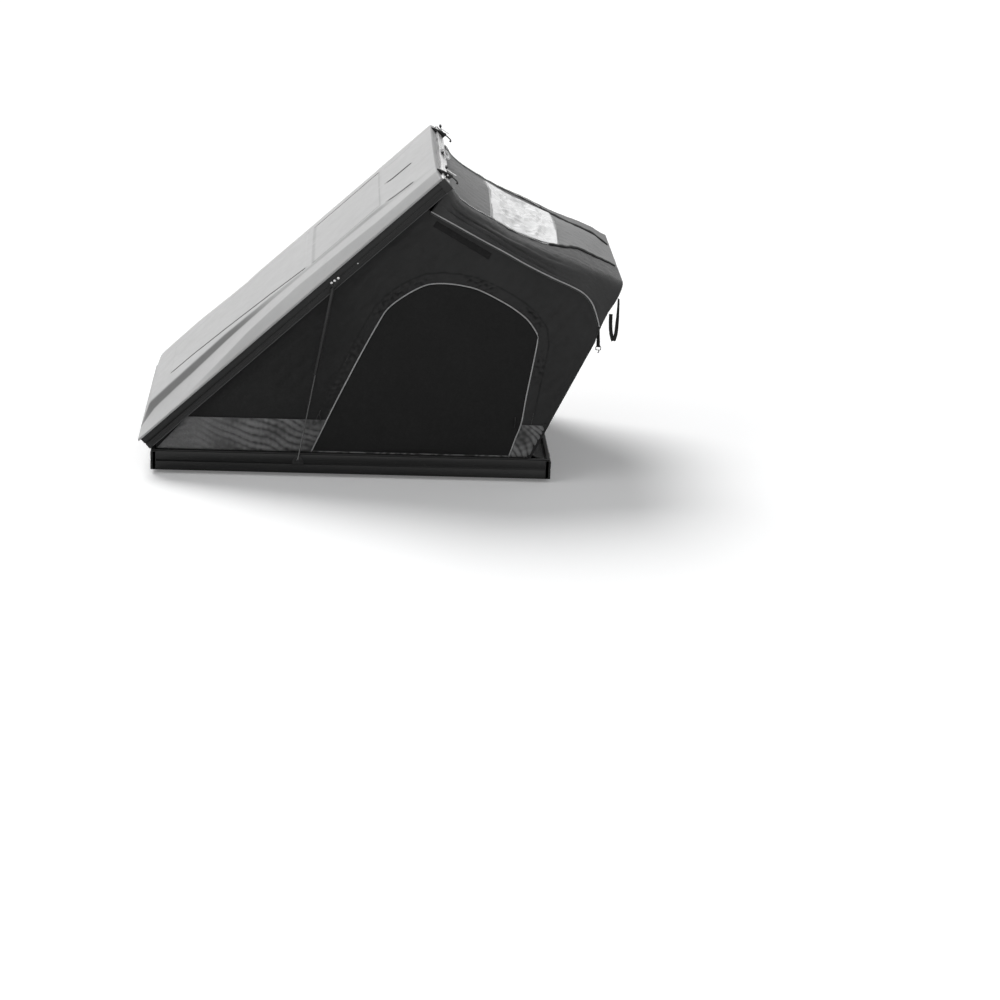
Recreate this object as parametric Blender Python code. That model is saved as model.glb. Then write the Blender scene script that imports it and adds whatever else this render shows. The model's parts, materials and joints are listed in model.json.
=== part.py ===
"""Hard shell rooftop tent, opened: a wedge-shaped two-person tent for a vehicle roof.

A thin moulded lid is hinged along the front edge of a flat base tray. Two gas struts hold it up, and
canvas walls fill the wedge between them. Behind the lid a folding bow and a smaller end hoop stretch
a fabric roof out past the base, and two hook latches hold the lid shut for driving.

The frame: metres, +Z up. The origin is the middle of the floor panel's underside. The lid hinge is
at the -X end and the lid opens at the +X end. "left" is the -Y side.

Pieces that move are parented to an empty on their joint's axis, and their points are written in that
empty's own axes. For the lid these are s along the lid from the hinge, y across, and n up out of it.
"""
import math

import bmesh
import bpy
from mathutils import Matrix, Vector

# Fits
GAP = 0.0003              # free gap between neighbouring pieces
RUNNING_FIT = 0.0003      # radial play of a pin in its bore
FABRIC_GAP = 0.0005       # between two edges of cloth that a zip or seam joins

# Base tray
BASE_LENGTH = 2.14
BASE_WIDTH = 1.348
FLOOR_THICKNESS = 0.018
RAIL_WIDTH = 0.029
HALF_LENGTH = BASE_LENGTH / 2
HALF_WIDTH = BASE_WIDTH / 2
RAIL_INNER_Y = HALF_WIDTH - RAIL_WIDTH
RAIL_TOP_Z = 0.100
RAIL_WALL = 0.003
FLOOR_GRIP = 0.017        # how far the side rails' lips reach under and over the floor panel
RAIL_SLOT_Z = 0.050       # middle of the T-slot in the base rails' outer face
SLOT_MOUTH = 0.009
SLOT_CAVITY = 0.015
SLOT_LIP = 0.0025
SLOT_DEPTH = 0.0085
SEAL_WIDTH = 0.018
SEAL_HEIGHT = 0.0052
CHANNEL_Y = 0.40          # the two mounting channels under the floor
CHANNEL_LENGTH = 1.90
CHANNEL_WIDTH = 0.040
CHANNEL_DEPTH = 0.024
CHANNEL_WALL = 0.0028
CHANNEL_MOUTH = 0.012
MATTRESS_LENGTH = BASE_LENGTH - 0.160
MATTRESS_WIDTH = BASE_WIDTH - 0.188
MATTRESS_THICKNESS = 0.047
MATTRESS_EDGE_RADIUS = 0.014

# Lid
HINGE_X = -HALF_LENGTH - 0.009
HINGE_Z = 0.106
OPEN_DEG = 43.16
LID_LENGTH = 2.128        # the moulded shell, along s
LID_RAIL_HEIGHT = 0.0705
LID_SLOT_N = 0.036        # middle of the T-slot in the lid rails
LID_FRONT_RAIL_S = 0.009
LID_FRONT_RAIL_WIDTH = 0.026
REAR_RAIL_S = 2.105
REAR_RAIL_STEP_S = 2.128
REAR_RAIL_END_S = 2.145
REAR_RAIL_STEP_N = 0.020
SHELL_THICKNESS = 0.004
SHELL_EDGE_Y = HALF_WIDTH + 0.002
SHELL_LIP_N = 0.078
SHELL_LIP_DRAFT = 0.0003
NOSE_S = 0.125            # where the front bevel meets the platform
CROWN = 0.003
CREASE_RISE = 0.002
PANEL_RECESS = 0.003
PANEL_STEP = 0.004
RIB_RISE = 0.004
RIB_HALF_WIDTH = 0.016
RIB_FLANK = 0.005
HEADLINER_THICKNESS = 0.006
HEADLINER_MARGIN = 0.030
HEADLINER_START_S = 0.18
HEADLINER_END_S = 1.95
# Each row: s, then |y| and n of the shoulder, of the foot of the low wall, and of the platform's edge.
LID_STATIONS = (
    (0.125, 0.6580, 0.0805, 0.4800, 0.1080, 0.4500, 0.1480),
    (0.168, 0.6575, 0.0810, 0.4790, 0.1110, 0.4515, 0.1500),
    (0.290, 0.6550, 0.0830, 0.4720, 0.1150, 0.4450, 0.1520),
    (0.435, 0.6470, 0.0905, 0.4640, 0.1170, 0.4385, 0.1540),
    (0.670, 0.6240, 0.1060, 0.4240, 0.1210, 0.4000, 0.1510),
    (0.820, 0.6000, 0.1160, 0.4220, 0.1230, 0.4010, 0.1470),
    (1.000, 0.5790, 0.1183, 0.4230, 0.1250, 0.4025, 0.1420),
    (1.170, 0.5600, 0.1195, 0.4230, 0.1228, 0.4040, 0.1350),
    (1.270, 0.5650, 0.1180, 0.4235, 0.1222, 0.4055, 0.1310),
    (1.480, 0.5750, 0.1150, 0.4290, 0.1195, 0.4120, 0.1300),
    (1.710, 0.5950, 0.1098, 0.4370, 0.1150, 0.4180, 0.1300),
    (1.765, 0.5980, 0.1096, 0.4420, 0.1140, 0.4200, 0.1290),
    (1.850, 0.6000, 0.1094, 0.4560, 0.1125, 0.4320, 0.1200),
    (1.980, 0.6000, 0.1090, 0.4800, 0.1110, 0.4640, 0.1175),
    (2.060, 0.6000, 0.1086, 0.4900, 0.1100, 0.4700, 0.1145),
    (2.1275, 0.6000, 0.1080, 0.4900, 0.1090, 0.4700, 0.1120),
)
CREASE_LINE = ((0.125, 0.250), (0.270, 0.250), (1.235, 0.385), (1.270, 0.395), (2.1275, 0.395))
PANEL_START_S = 1.270
PANEL_END_S = 1.765
CREASE_START_S = 0.270
CREASE_END_S = 1.235
RIB_START_S = 1.800
RIB_END_S = 1.980

# Front hinge
HINGE_LENGTH = 1.20
HINGE_KNUCKLES = 11       # an odd number, so that both end ones are on the base leaf
HINGE_BARREL_RADIUS = 0.0065
HINGE_PIN_RADIUS = 0.003
HINGE_LEAF_HEIGHT = 0.048
HINGE_LEAF_THICKNESS = 0.0033

# Gas struts
STRUT_Y = HALF_WIDTH + 0.0185
STRUT_FOOT_X = -0.287
STRUT_FOOT_Z = 0.075
STRUT_HEAD_S = 1.339
STRUT_HEAD_N = 0.0234
STRUT_ROD_RADIUS = 0.004
STRUT_ROD_TOP = 0.515     # along the strut from its foot
STRUT_PISTON_START = 0.497
STRUT_PISTON_LENGTH = 0.015
STRUT_PISTON_CLEARANCE = 0.0003
STRUT_TUBE_RADIUS = 0.009
STRUT_TUBE_WALL = 0.0012
STRUT_TUBE_START = 0.484
STRUT_TUBE_END = 0.966
STRUT_GLAND_LENGTH = 0.010
STRUT_NECK_RADIUS = 0.005
STRUT_EYE_RADIUS = 0.008
STRUT_EYE_THICKNESS = 0.010
STRUT_STUD_RADIUS = 0.004
STUD_HEAD_RADIUS = 0.006
STUD_HEAD_THICKNESS = 0.0025
STRUT_BOSS_RADIUS = 0.007
STRUT_PLATE_THICKNESS = 0.0037
LID_BOSS_HEIGHT = 0.004
SLOT_BOLT_RADIUS = 0.0028
SLOT_BOLT_HEAD_RADIUS = 0.005
SLOT_BOLT_HEAD_HEIGHT = 0.003
LID_BOLT_STATIONS = (1.334, 1.384)
BASE_BOLT_OFFSETS = (-0.022, 0.022)

# Bow and end hoop
BOW_X = 0.943
BOW_Z = 0.106
BOW_DEG = 64.6            # lean of the bow above the horizontal
BOW_Y = RAIL_INNER_Y - 0.021
BOW_LENGTH = 0.736
BOW_TUBE_RADIUS = 0.010
BOW_TUBE_WALL = 0.0015
BOW_CORNER_RADIUS = 0.036
BOW_TUBE_START = 0.022
BOW_TONGUE_THICKNESS = 0.009
BOW_TONGUE_HEIGHT = 0.0155
BOW_EYE_RADIUS = 0.0105
BOW_PIN_RADIUS = 0.004
BOW_PLUG_LENGTH = 0.040
PLUG_CLEARANCE = 0.0003
BRACKET_PLATE = 0.004
BRACKET_FACE_Y = RAIL_INNER_Y - 0.006
BRACKET_FOOT_Y = RAIL_INNER_Y - 0.036    # inner edge of the foot, which stands on the side rail's lip
BRACKET_HALF_LENGTH = 0.020
PIN_HEAD_RADIUS = 0.0065
PIN_HEAD_THICKNESS = 0.003
HOOP_PIVOT_R = 0.690      # on the bow, along its leg
HOOP_PIVOT_M = 0.024      # on the lid's side of the bow
HOOP_Y = RAIL_INNER_Y - 0.046
HOOP_END_X = 1.404
HOOP_END_Z = 1.055
HOOP_TUBE_RADIUS = 0.008
HOOP_TUBE_WALL = 0.0015
HOOP_CORNER_RADIUS = 0.100
HOOP_TUBE_START = 0.028
HOOP_TONGUE_THICKNESS = 0.008
HOOP_TONGUE_HEIGHT = 0.013
HOOP_EYE_RADIUS = 0.010
HOOP_PLUG_LENGTH = 0.035
COLLAR_WALL = 0.003
COLLAR_HALF_LENGTH = 0.008
CHEEK_FACE_Y = RAIL_INNER_Y - 0.0415
CHEEK_BACK_Y = RAIL_INNER_Y - 0.0327
CHEEK_HALF_LENGTH = 0.011
CHEEK_BEHIND = 0.004
CHEEK_AHEAD = 0.030

# Latches and pull strap
LATCH_Y = 0.53
LATCH_CHEEK_THICKNESS = 0.003
LATCH_LEVER_THICKNESS = 0.008
LATCH_FLANGE_THICKNESS = 0.003
LATCH_FLANGE_HALF_WIDTH = 0.0175
LATCH_PIVOT_S = 2.158
LATCH_PIVOT_N = 0.048
LATCH_UPPER_BOLT_S = 2.139
LATCH_UPPER_BOLT_N = 0.080
LATCH_BOLT_RADIUS = 0.003
LATCH_BOLT_HEAD_RADIUS = 0.0055
LATCH_BOLT_HEAD_HEIGHT = 0.0032
LATCH_EYE_RADIUS = 0.0075
LATCH_ARM_HALF_WIDTH = 0.003
LATCH_HOOK_LINE = ((2.158, 0.048), (2.166, 0.010), (2.168, -0.014), (2.1655, -0.023), (2.1605, -0.0245),
                   (2.1595, -0.017))
LATCH_KNOB_S = 2.176
LATCH_KNOB_N = 0.080
LATCH_KNOB_RADIUS = 0.007
LATCH_KNOB_HALF_WIDTH = 0.015
KEEPER_WIDTH = 0.034
KEEPER_THICKNESS = 0.0028
KEEPER_LIP_REACH = 0.0045
KEEPER_LIP_Z = 0.085
KEEPER_BOTTOM_Z = 0.058
KEEPER_TOP_Z = 0.095
STRAP_WIDTH = 0.025
STRAP_THICKNESS = 0.002
STRAP_LOOP_S = 2.1497
STRAP_LOOP_GAP = 0.003
STRAP_TOP_N = 0.060
STRAP_BOTTOM_N = -0.022
ANCHOR_POST_WIDTH = 0.004
ANCHOR_POST_HEIGHT = 0.010

# Cloth
CANVAS_THICKNESS = 0.0024
CANVAS_FOOT_Z = 0.088
CANVAS_LID_N = 0.012      # how far the side walls reach up inside the lid's rails
CANVAS_FRONT_S = 0.045
CANVAS_REAR_S = 1.976     # where the side walls' top edge leaves the lid's rails
SKIRT_TOP_Z = 0.288
SKIRT_HEM = 0.008         # the strip that runs on under the door
WALL_BEHIND_BOW = 0.0167
REAR_WALL_HALF_WIDTH = RAIL_INNER_Y - 0.0062
REAR_WALL_FOOT_X = 1.0393
REAR_WALL_FOOT_Z = 0.094
REAR_DOOR_HALF_WIDTH = 0.36
HOOD_START_S = 2.120
HOOD_SAG = 0.030
HOOD_HEM = 0.012
HOOD_WRAP_RADIUS = 0.0115 # of the cloth round the end hoop
HOOD_TUCK = 0.016         # the edge that runs on behind the hoop
SKYLIGHT_HALF_WIDTH = 0.345
SKYLIGHT_START = 0.255
SKYLIGHT_END = 0.665
# The seam between roof cover and side wall, in (x, z), from the lid to the rear top corner.
SEAM_LINE = ((0.378, 1.441), (0.501, 1.377), (0.637, 1.305), (0.765, 1.240), (0.894, 1.171),
             (1.022, 1.110), (1.134, 1.062), (1.195, 1.029), (1.240, 0.983), (1.269, 0.919),
             (1.290, 0.849))
DOOR_LINE = ((-0.218, 0.106), (-0.175, 0.203), (-0.077, 0.423), (0.036, 0.663), (0.128, 0.845),
             (0.169, 0.912), (0.242, 0.975), (0.326, 1.028), (0.389, 1.052), (0.474, 1.057),
             (0.561, 1.048), (0.647, 1.027), (0.768, 0.969), (0.846, 0.922), (0.913, 0.868),
             (0.966, 0.791), (0.967, 0.757), (0.955, 0.667), (0.922, 0.451), (0.902, 0.301),
             (0.873, 0.208), (0.842, 0.106))
SEAM_Y = RAIL_INNER_Y + 0.0014
FLARE_Y = RAIL_INNER_Y - 0.019           # between the hoop's legs and the seam
FLARE_FALL = 0.72
HOOP_CORNER_STEPS = 5     # of the cloth, round the hoop's corner
WRAP_STEPS = 3            # of the cloth, from the hoop's outer side to behind it
HOOD_STRAP_LINE = ((1.3789, 0.985), (1.392, 0.930), (1.398, 0.860), (1.385, 0.790), (1.352, 0.758),
                   (1.322, 0.775), (1.308, 0.812), (1.304, 0.760), (1.300, 0.705))
HOOD_STRAP_Y = HOOP_Y - 0.001
HOOD_STRAP_WIDTH = 0.022

# Worked out from the sizes above
RAIL_INNER_X = HALF_LENGTH - RAIL_WIDTH
OPEN = math.radians(OPEN_DEG)
BOW_LEAN = math.radians(BOW_DEG)
SKIRT_OUTER_Y = RAIL_INNER_Y - GAP
SKIRT_INNER_Y = SKIRT_OUTER_Y - CANVAS_THICKNESS
CANVAS_OUTER_Y = SKIRT_INNER_Y - GAP
CANVAS_INNER_Y = CANVAS_OUTER_Y - CANVAS_THICKNESS


# Helpers
def clear_scene():
    for obj in list(bpy.data.objects):
        bpy.data.objects.remove(obj, do_unlink=True)


def material(name, colour, metallic, roughness, alpha=1.0):
    mat = bpy.data.materials.new(name)
    mat.use_nodes = True
    shader = mat.node_tree.nodes["Principled BSDF"]
    shader.inputs["Base Color"].default_value = (*colour, 1.0)
    shader.inputs["Metallic"].default_value = metallic
    shader.inputs["Roughness"].default_value = roughness
    shader.inputs["Alpha"].default_value = alpha
    mat.diffuse_color = (*colour, 1.0)
    return mat


def axis_empty(name, location, turn_y=0.0, parent=None):
    """An empty on a joint's axis. Its own X axis is turned up by -turn_y about Y."""
    empty = bpy.data.objects.new(name, None)
    empty.location = location
    empty.rotation_euler = (0.0, turn_y, 0.0)
    empty.parent = parent
    bpy.context.collection.objects.link(empty)
    return empty


def finish(name, bm, mat, parent=None, weld=True):
    """Turns a bmesh into an object with its faces pointing out."""
    if weld:
        bmesh.ops.remove_doubles(bm, verts=bm.verts, dist=1e-6)
    bmesh.ops.recalc_face_normals(bm, faces=bm.faces)
    mesh = bpy.data.meshes.new(name)
    bm.to_mesh(mesh)
    bm.free()
    mesh.materials.append(mat)
    obj = bpy.data.objects.new(name, mesh)
    obj.parent = parent
    bpy.context.collection.objects.link(obj)
    return obj


def interpolate(table, value, column=1):
    """Straight-line reading of a table of rows sorted by their first number."""
    if value <= table[0][0]:
        return table[0][column]
    for low, high in zip(table, table[1:]):
        if value <= high[0]:
            share = (value - low[0]) / (high[0] - low[0])
            return low[column] + share * (high[column] - low[column])
    return table[-1][column]


def along(line, share):
    """The point at a share of the length of a polyline in the XZ plane."""
    lengths = [math.dist(a, b) for a, b in zip(line, line[1:])]
    left = share * sum(lengths)
    for (a, b), length in zip(zip(line, line[1:]), lengths):
        if left <= length:
            t = left / length
            return (a[0] + (b[0] - a[0]) * t, a[1] + (b[1] - a[1]) * t)
        left -= length
    return line[-1]


def lid_to_world(s, n):
    return (HINGE_X + s * math.cos(OPEN) - n * math.sin(OPEN),
            HINGE_Z + s * math.sin(OPEN) + n * math.cos(OPEN))


def arc(centre, radius, start, end, steps):
    """Points on an arc, angles in radians."""
    return [(centre[0] + radius * math.cos(start + (end - start) * i / steps),
             centre[1] + radius * math.sin(start + (end - start) * i / steps))
            for i in range(steps + 1)]


def circle(centre, radius, steps=20):
    return arc(centre, radius, 0.0, 2 * math.pi, steps)[:-1]


def add_prism(bm, outline, low, high, axis="y", holes=()):
    """A flat outline with holes, pushed from low to high along an axis.

    Outline points are (x, z) for axis y, (y, z) for axis x and (x, y) for axis z.
    """
    def place(point, depth):
        if axis == "y":
            return (point[0], depth, point[1])
        if axis == "x":
            return (depth, point[0], point[1])
        return (point[0], point[1], depth)

    ends = []
    for depth in (low, high):
        loops = [[bm.verts.new(place(p, depth)) for p in loop] for loop in (outline, *holes)]
        edges = [bm.edges.new((loop[i - 1], loop[i])) for loop in loops for i in range(len(loop))]
        bmesh.ops.triangle_fill(bm, use_beauty=True, edges=edges)
        ends.append(loops)
    for first, second in zip(*ends):
        for i in range(len(first)):
            bm.faces.new((first[i - 1], first[i], second[i], second[i - 1]))


def add_box(bm, low, high):
    """A box between two corners."""
    outline = [(low[0], low[1]), (high[0], low[1]), (high[0], high[1]), (low[0], high[1])]
    add_prism(bm, outline, low[2], high[2], axis="z")


def add_turned(bm, profile, start, direction, steps=16):
    """A turned piece: (distance along, radius) points, closed up when both ends are on the axis.

    A profile whose last point is its first one makes a ring or a sleeve.
    """
    direction = Vector(direction).normalized()
    side = direction.orthogonal().normalized()
    other = direction.cross(side)
    ring_shaped = profile[0] == profile[-1]
    rings = []
    for distance, radius in profile[:-1] if ring_shaped else profile:
        centre = Vector(start) + direction * distance
        if radius == 0.0:
            rings.append([bm.verts.new(centre)])
            continue
        rings.append([bm.verts.new(centre + side * radius * math.cos(a) + other * radius * math.sin(a))
                      for a in (2 * math.pi * i / steps for i in range(steps))])
    pairs = list(zip(rings, rings[1:]))
    if ring_shaped:
        pairs.append((rings[-1], rings[0]))
    for first, second in pairs:
        for i in range(steps):
            j = (i + 1) % steps
            corners = [first[i % len(first)], first[j % len(first)],
                       second[j % len(second)], second[i % len(second)]]
            distinct = list(dict.fromkeys(corners))
            if len(distinct) > 2:
                bm.faces.new(distinct)


def add_pin(bm, centre, low_y, high_y, radius, steps=16):
    """A round pin along Y."""
    add_prism(bm, circle(centre, radius, steps), low_y, high_y)


def add_tube(bm, path, outer, wall, steps=12):
    """A hollow tube, open at both ends, along a path of points in one XY plane."""
    rings = {outer: [], outer - wall: []}
    for i, point in enumerate(path):
        before = Vector(path[max(i - 1, 0)])
        after = Vector(path[min(i + 1, len(path) - 1)])
        tangent = (after - before).normalized()
        across = Vector((0.0, 0.0, 1.0)).cross(tangent).normalized()
        for radius, found in rings.items():
            ring = []
            for k in range(steps):
                a = 2 * math.pi * k / steps
                offset = across * radius * math.cos(a) + Vector((0.0, 0.0, radius * math.sin(a)))
                ring.append(bm.verts.new(Vector(point) + offset))
            found.append(ring)
    for found in rings.values():
        for first, second in zip(found, found[1:]):
            for k in range(steps):
                bm.faces.new((first[k - 1], first[k], second[k], second[k - 1]))
    outside, inside = rings.values()
    for end in (0, -1):
        for k in range(steps):
            bm.faces.new((outside[end][k - 1], outside[end][k], inside[end][k], inside[end][k - 1]))


def u_path(start, length, half_width, radius, steps=6):
    """The line of a U-shaped tube: up one leg, round two corners and down the other leg."""
    left = [(start, -half_width, 0.0)]
    for x, y in arc((length - radius, -half_width + radius), radius, -math.pi / 2, 0.0, steps):
        left.append((x, y, 0.0))
    right = [(x, -y, 0.0) for x, y, _ in reversed(left)]
    return left + right


def add_grid(bm, rows, skip=lambda r, c: False):
    """Quads between rows of points, leaving out the cells that skip names."""
    verts = [[bm.verts.new(p) for p in row] for row in rows]
    for r in range(len(rows) - 1):
        for c in range(len(rows[0]) - 1):
            if not skip(r, c):
                bm.faces.new((verts[r][c], verts[r][c + 1], verts[r + 1][c + 1], verts[r + 1][c]))
    loose = [v for v in bm.verts if not v.link_faces]
    bmesh.ops.delete(bm, geom=loose, context="VERTS")


def add_sheet(bm, rows, thickness, skip=lambda r, c: False):
    """A sheet with its mid surface on a grid of points, thickened half each way along its normals."""
    flat = bmesh.new()
    add_grid(flat, rows, skip)
    bmesh.ops.recalc_face_normals(flat, faces=flat.faces)
    flat.normal_update()
    flat.verts.index_update()
    sides = []
    for sign in (0.5, -0.5):
        sides.append([bm.verts.new(v.co + v.normal * thickness * sign * v.calc_shell_factor())
                      for v in flat.verts])
    for face in flat.faces:
        ids = [v.index for v in face.verts]
        bm.faces.new([sides[0][i] for i in ids])
        bm.faces.new([sides[1][i] for i in reversed(ids)])
    for edge in flat.edges:
        if edge.is_boundary:
            a, b = (v.index for v in edge.verts)
            bm.faces.new((sides[0][a], sides[0][b], sides[1][b], sides[1][a]))
    flat.free()


def fused(meshes, operation="UNION"):
    """The first bmesh with each of the others joined on, or cut away, as one new bmesh."""
    objects = []
    for i, bm in enumerate(meshes):
        bmesh.ops.recalc_face_normals(bm, faces=bm.faces)
        mesh = bpy.data.meshes.new(f"step_{i}")
        bm.to_mesh(mesh)
        bm.free()
        obj = bpy.data.objects.new(f"step_{i}", mesh)
        bpy.context.collection.objects.link(obj)
        objects.append(obj)
    base = objects[0]
    for tool in objects[1:]:
        join = base.modifiers.new(tool.name, "BOOLEAN")
        join.operation = operation
        join.solver = "EXACT"
        join.object = tool
    bpy.context.view_layer.update()
    result = bmesh.new()
    result.from_object(base, bpy.context.evaluated_depsgraph_get())
    for obj in objects:
        bpy.data.objects.remove(obj, do_unlink=True)
    return result


def piece(add, *args, **kwargs):
    """A new bmesh holding one shape."""
    bm = bmesh.new()
    add(bm, *args, **kwargs)
    return bm


def mirrored(points, side):
    """(|y|, z) points put on the left (-1) or right (+1) side."""
    return [(side * p[0], p[1]) for p in points]


# Base tray
def rail_outline(outer, inner, low, high, slot):
    """Outline of a rail's outer face with its T-slot, as (across, height) points."""
    mouth = SLOT_MOUTH / 2
    cavity = SLOT_CAVITY / 2
    lip = outer - SLOT_LIP
    back = outer - SLOT_DEPTH
    edge = 0.002
    return [(inner, low), (outer, low),
            (outer, slot - mouth), (lip, slot - mouth), (lip, slot - cavity), (back, slot - cavity),
            (back, slot + cavity), (lip, slot + cavity), (lip, slot + mouth), (outer, slot + mouth),
            (outer, high - 3 * edge), (outer - edge, high), (inner, high)]


def rail_hollow(outer, inner, low, high):
    """The rail's inside, between its inner wall and the back of the T-slot."""
    return [(inner + RAIL_WALL, low + RAIL_WALL), (outer - SLOT_DEPTH - RAIL_WALL, low + RAIL_WALL),
            (outer - SLOT_DEPTH - RAIL_WALL, high - RAIL_WALL), (inner + RAIL_WALL, high - RAIL_WALL)]


def build_base(mats):
    lip_in = RAIL_INNER_Y - FLOOR_GRIP
    low = -RAIL_WALL - GAP
    top = FLOOR_THICKNESS + GAP

    bm = piece(add_box, (-RAIL_INNER_X + GAP, -RAIL_INNER_Y + 2 * GAP, 0.0),
               (RAIL_INNER_X - GAP, RAIL_INNER_Y - 2 * GAP, FLOOR_THICKNESS))
    finish("floor_panel", bm, mats["panel"])

    for name, side in (("left", -1), ("right", 1)):
        outline = rail_outline(HALF_WIDTH, RAIL_INNER_Y, low, RAIL_TOP_Z, RAIL_SLOT_Z)
        inner = [(RAIL_INNER_Y, top + RAIL_WALL), (lip_in, top + RAIL_WALL), (lip_in, top),
                 (RAIL_INNER_Y - GAP, top), (RAIL_INNER_Y - GAP, -GAP), (lip_in, -GAP), (lip_in, low)]
        hollow = rail_hollow(HALF_WIDTH, RAIL_INNER_Y, low, RAIL_TOP_Z)
        bm = piece(add_prism, mirrored(outline + inner, side), -RAIL_INNER_X + GAP, RAIL_INNER_X - GAP,
                   axis="x", holes=[mirrored(hollow, side)])
        finish(f"base_side_rail_{name}", bm, mats["black_rail"])

    for name, side in (("front", -1), ("rear", 1)):
        outline = rail_outline(HALF_LENGTH, RAIL_INNER_X, low, RAIL_TOP_Z, RAIL_SLOT_Z)
        hollow = rail_hollow(HALF_LENGTH, RAIL_INNER_X, low, RAIL_TOP_Z)
        bm = piece(add_prism, mirrored(outline, side), -HALF_WIDTH, HALF_WIDTH,
                   holes=[mirrored(hollow, side)])
        finish(f"base_{name}_rail", bm, mats["black_rail"])

    half = CHANNEL_WIDTH / 2
    mouth = CHANNEL_MOUTH / 2
    top = -GAP
    foot = top - CHANNEL_DEPTH
    wall = CHANNEL_WALL
    channel = [(-half, top), (-half, foot), (-mouth, foot), (-mouth, foot + wall),
               (-half + wall, foot + wall),
               (-half + wall, top - wall), (half - wall, top - wall), (half - wall, foot + wall),
               (mouth, foot + wall), (mouth, foot), (half, foot), (half, top)]
    for name, side in (("left", -1), ("right", 1)):
        bm = piece(add_prism, [(side * CHANNEL_Y + y, z) for y, z in channel],
                   -CHANNEL_LENGTH / 2, CHANNEL_LENGTH / 2, axis="x")
        finish(f"mounting_channel_{name}", bm, mats["bright_alloy"])

    mid_x = (HALF_LENGTH + RAIL_INNER_X) / 2
    mid_y = (HALF_WIDTH + RAIL_INNER_Y) / 2
    ring = [[(sx * (mid_x + d), sy * (mid_y + d)) for sx, sy in ((-1, -1), (1, -1), (1, 1), (-1, 1))]
            for d in (SEAL_WIDTH / 2, -SEAL_WIDTH / 2)]
    bm = piece(add_prism, ring[0], RAIL_TOP_Z + GAP, RAIL_TOP_Z + GAP + SEAL_HEIGHT, axis="z",
               holes=[ring[1]])
    finish("rim_seal", bm, mats["rubber"])

    floor_top = FLOOR_THICKNESS + 2 * GAP
    bm = piece(add_box, (-MATTRESS_LENGTH / 2, -MATTRESS_WIDTH / 2, floor_top),
               (MATTRESS_LENGTH / 2, MATTRESS_WIDTH / 2, floor_top + MATTRESS_THICKNESS))
    mattress = finish("mattress", bm, mats["mattress"])
    soften = mattress.modifiers.new("rounded edges", "BEVEL")
    soften.width = MATTRESS_EDGE_RADIUS
    soften.segments = 4


def hinge_leaf(leaf_side):
    """Outline of a hinge leaf with its knuckle, in (x, height) from the hinge axis."""
    near = LID_FRONT_RAIL_S - GAP
    far = near - HINGE_LEAF_THICKNESS
    radius = HINGE_BARREL_RADIUS
    tangent = math.acos(far / radius)
    points = [(far, HINGE_LEAF_HEIGHT)] + arc((0, 0), radius, tangent, 2 * math.pi, 10)
    points += [(near, 0.0), (near, HINGE_LEAF_HEIGHT)]
    return [(x, leaf_side * z) for x, z in points]


def build_front_hinge(mats, lid):
    bore = circle((0, 0), HINGE_PIN_RADIUS + RUNNING_FIT, 12)
    pitch = HINGE_LENGTH / HINGE_KNUCKLES
    near = LID_FRONT_RAIL_S - GAP
    far = near - HINGE_LEAF_THICKNESS
    clear = HINGE_BARREL_RADIUS + 2 * GAP
    start = -HINGE_LENGTH / 2
    base_axis = axis_empty("front_hinge_axis", (HINGE_X, 0.0, HINGE_Z))
    for name, leaf_side, first, parent in (
            ("hinge_base_leaf", -1, 0, base_axis), ("hinge_lid_leaf", 1, 1, lid)):
        low, high = sorted((leaf_side * clear, leaf_side * HINGE_LEAF_HEIGHT))
        parts = [piece(add_box, (far, start, low), (near, -start, high))]
        for i in range(first, HINGE_KNUCKLES, 2):
            trim = GAP if first else 0.0
            parts.append(piece(add_prism, hinge_leaf(leaf_side), start + i * pitch + trim,
                               start + (i + 1) * pitch - trim, holes=[bore]))
        finish(name, fused(parts), mats["black_rail"], parent, weld=False)
    pin = piece(add_pin, (0.0, 0.0), start, -start, HINGE_PIN_RADIUS, 12)
    finish("hinge_pin", pin, mats["steel"], base_axis)


# Lid
def platform_n(s, y):
    """Height of the lid's platform, with its crown."""
    edge_y = interpolate(LID_STATIONS, s, 5)
    n = interpolate(LID_STATIONS, s, 6) + CROWN * (1 - min(1.0, abs(y) / edge_y) ** 2)
    return n


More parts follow.
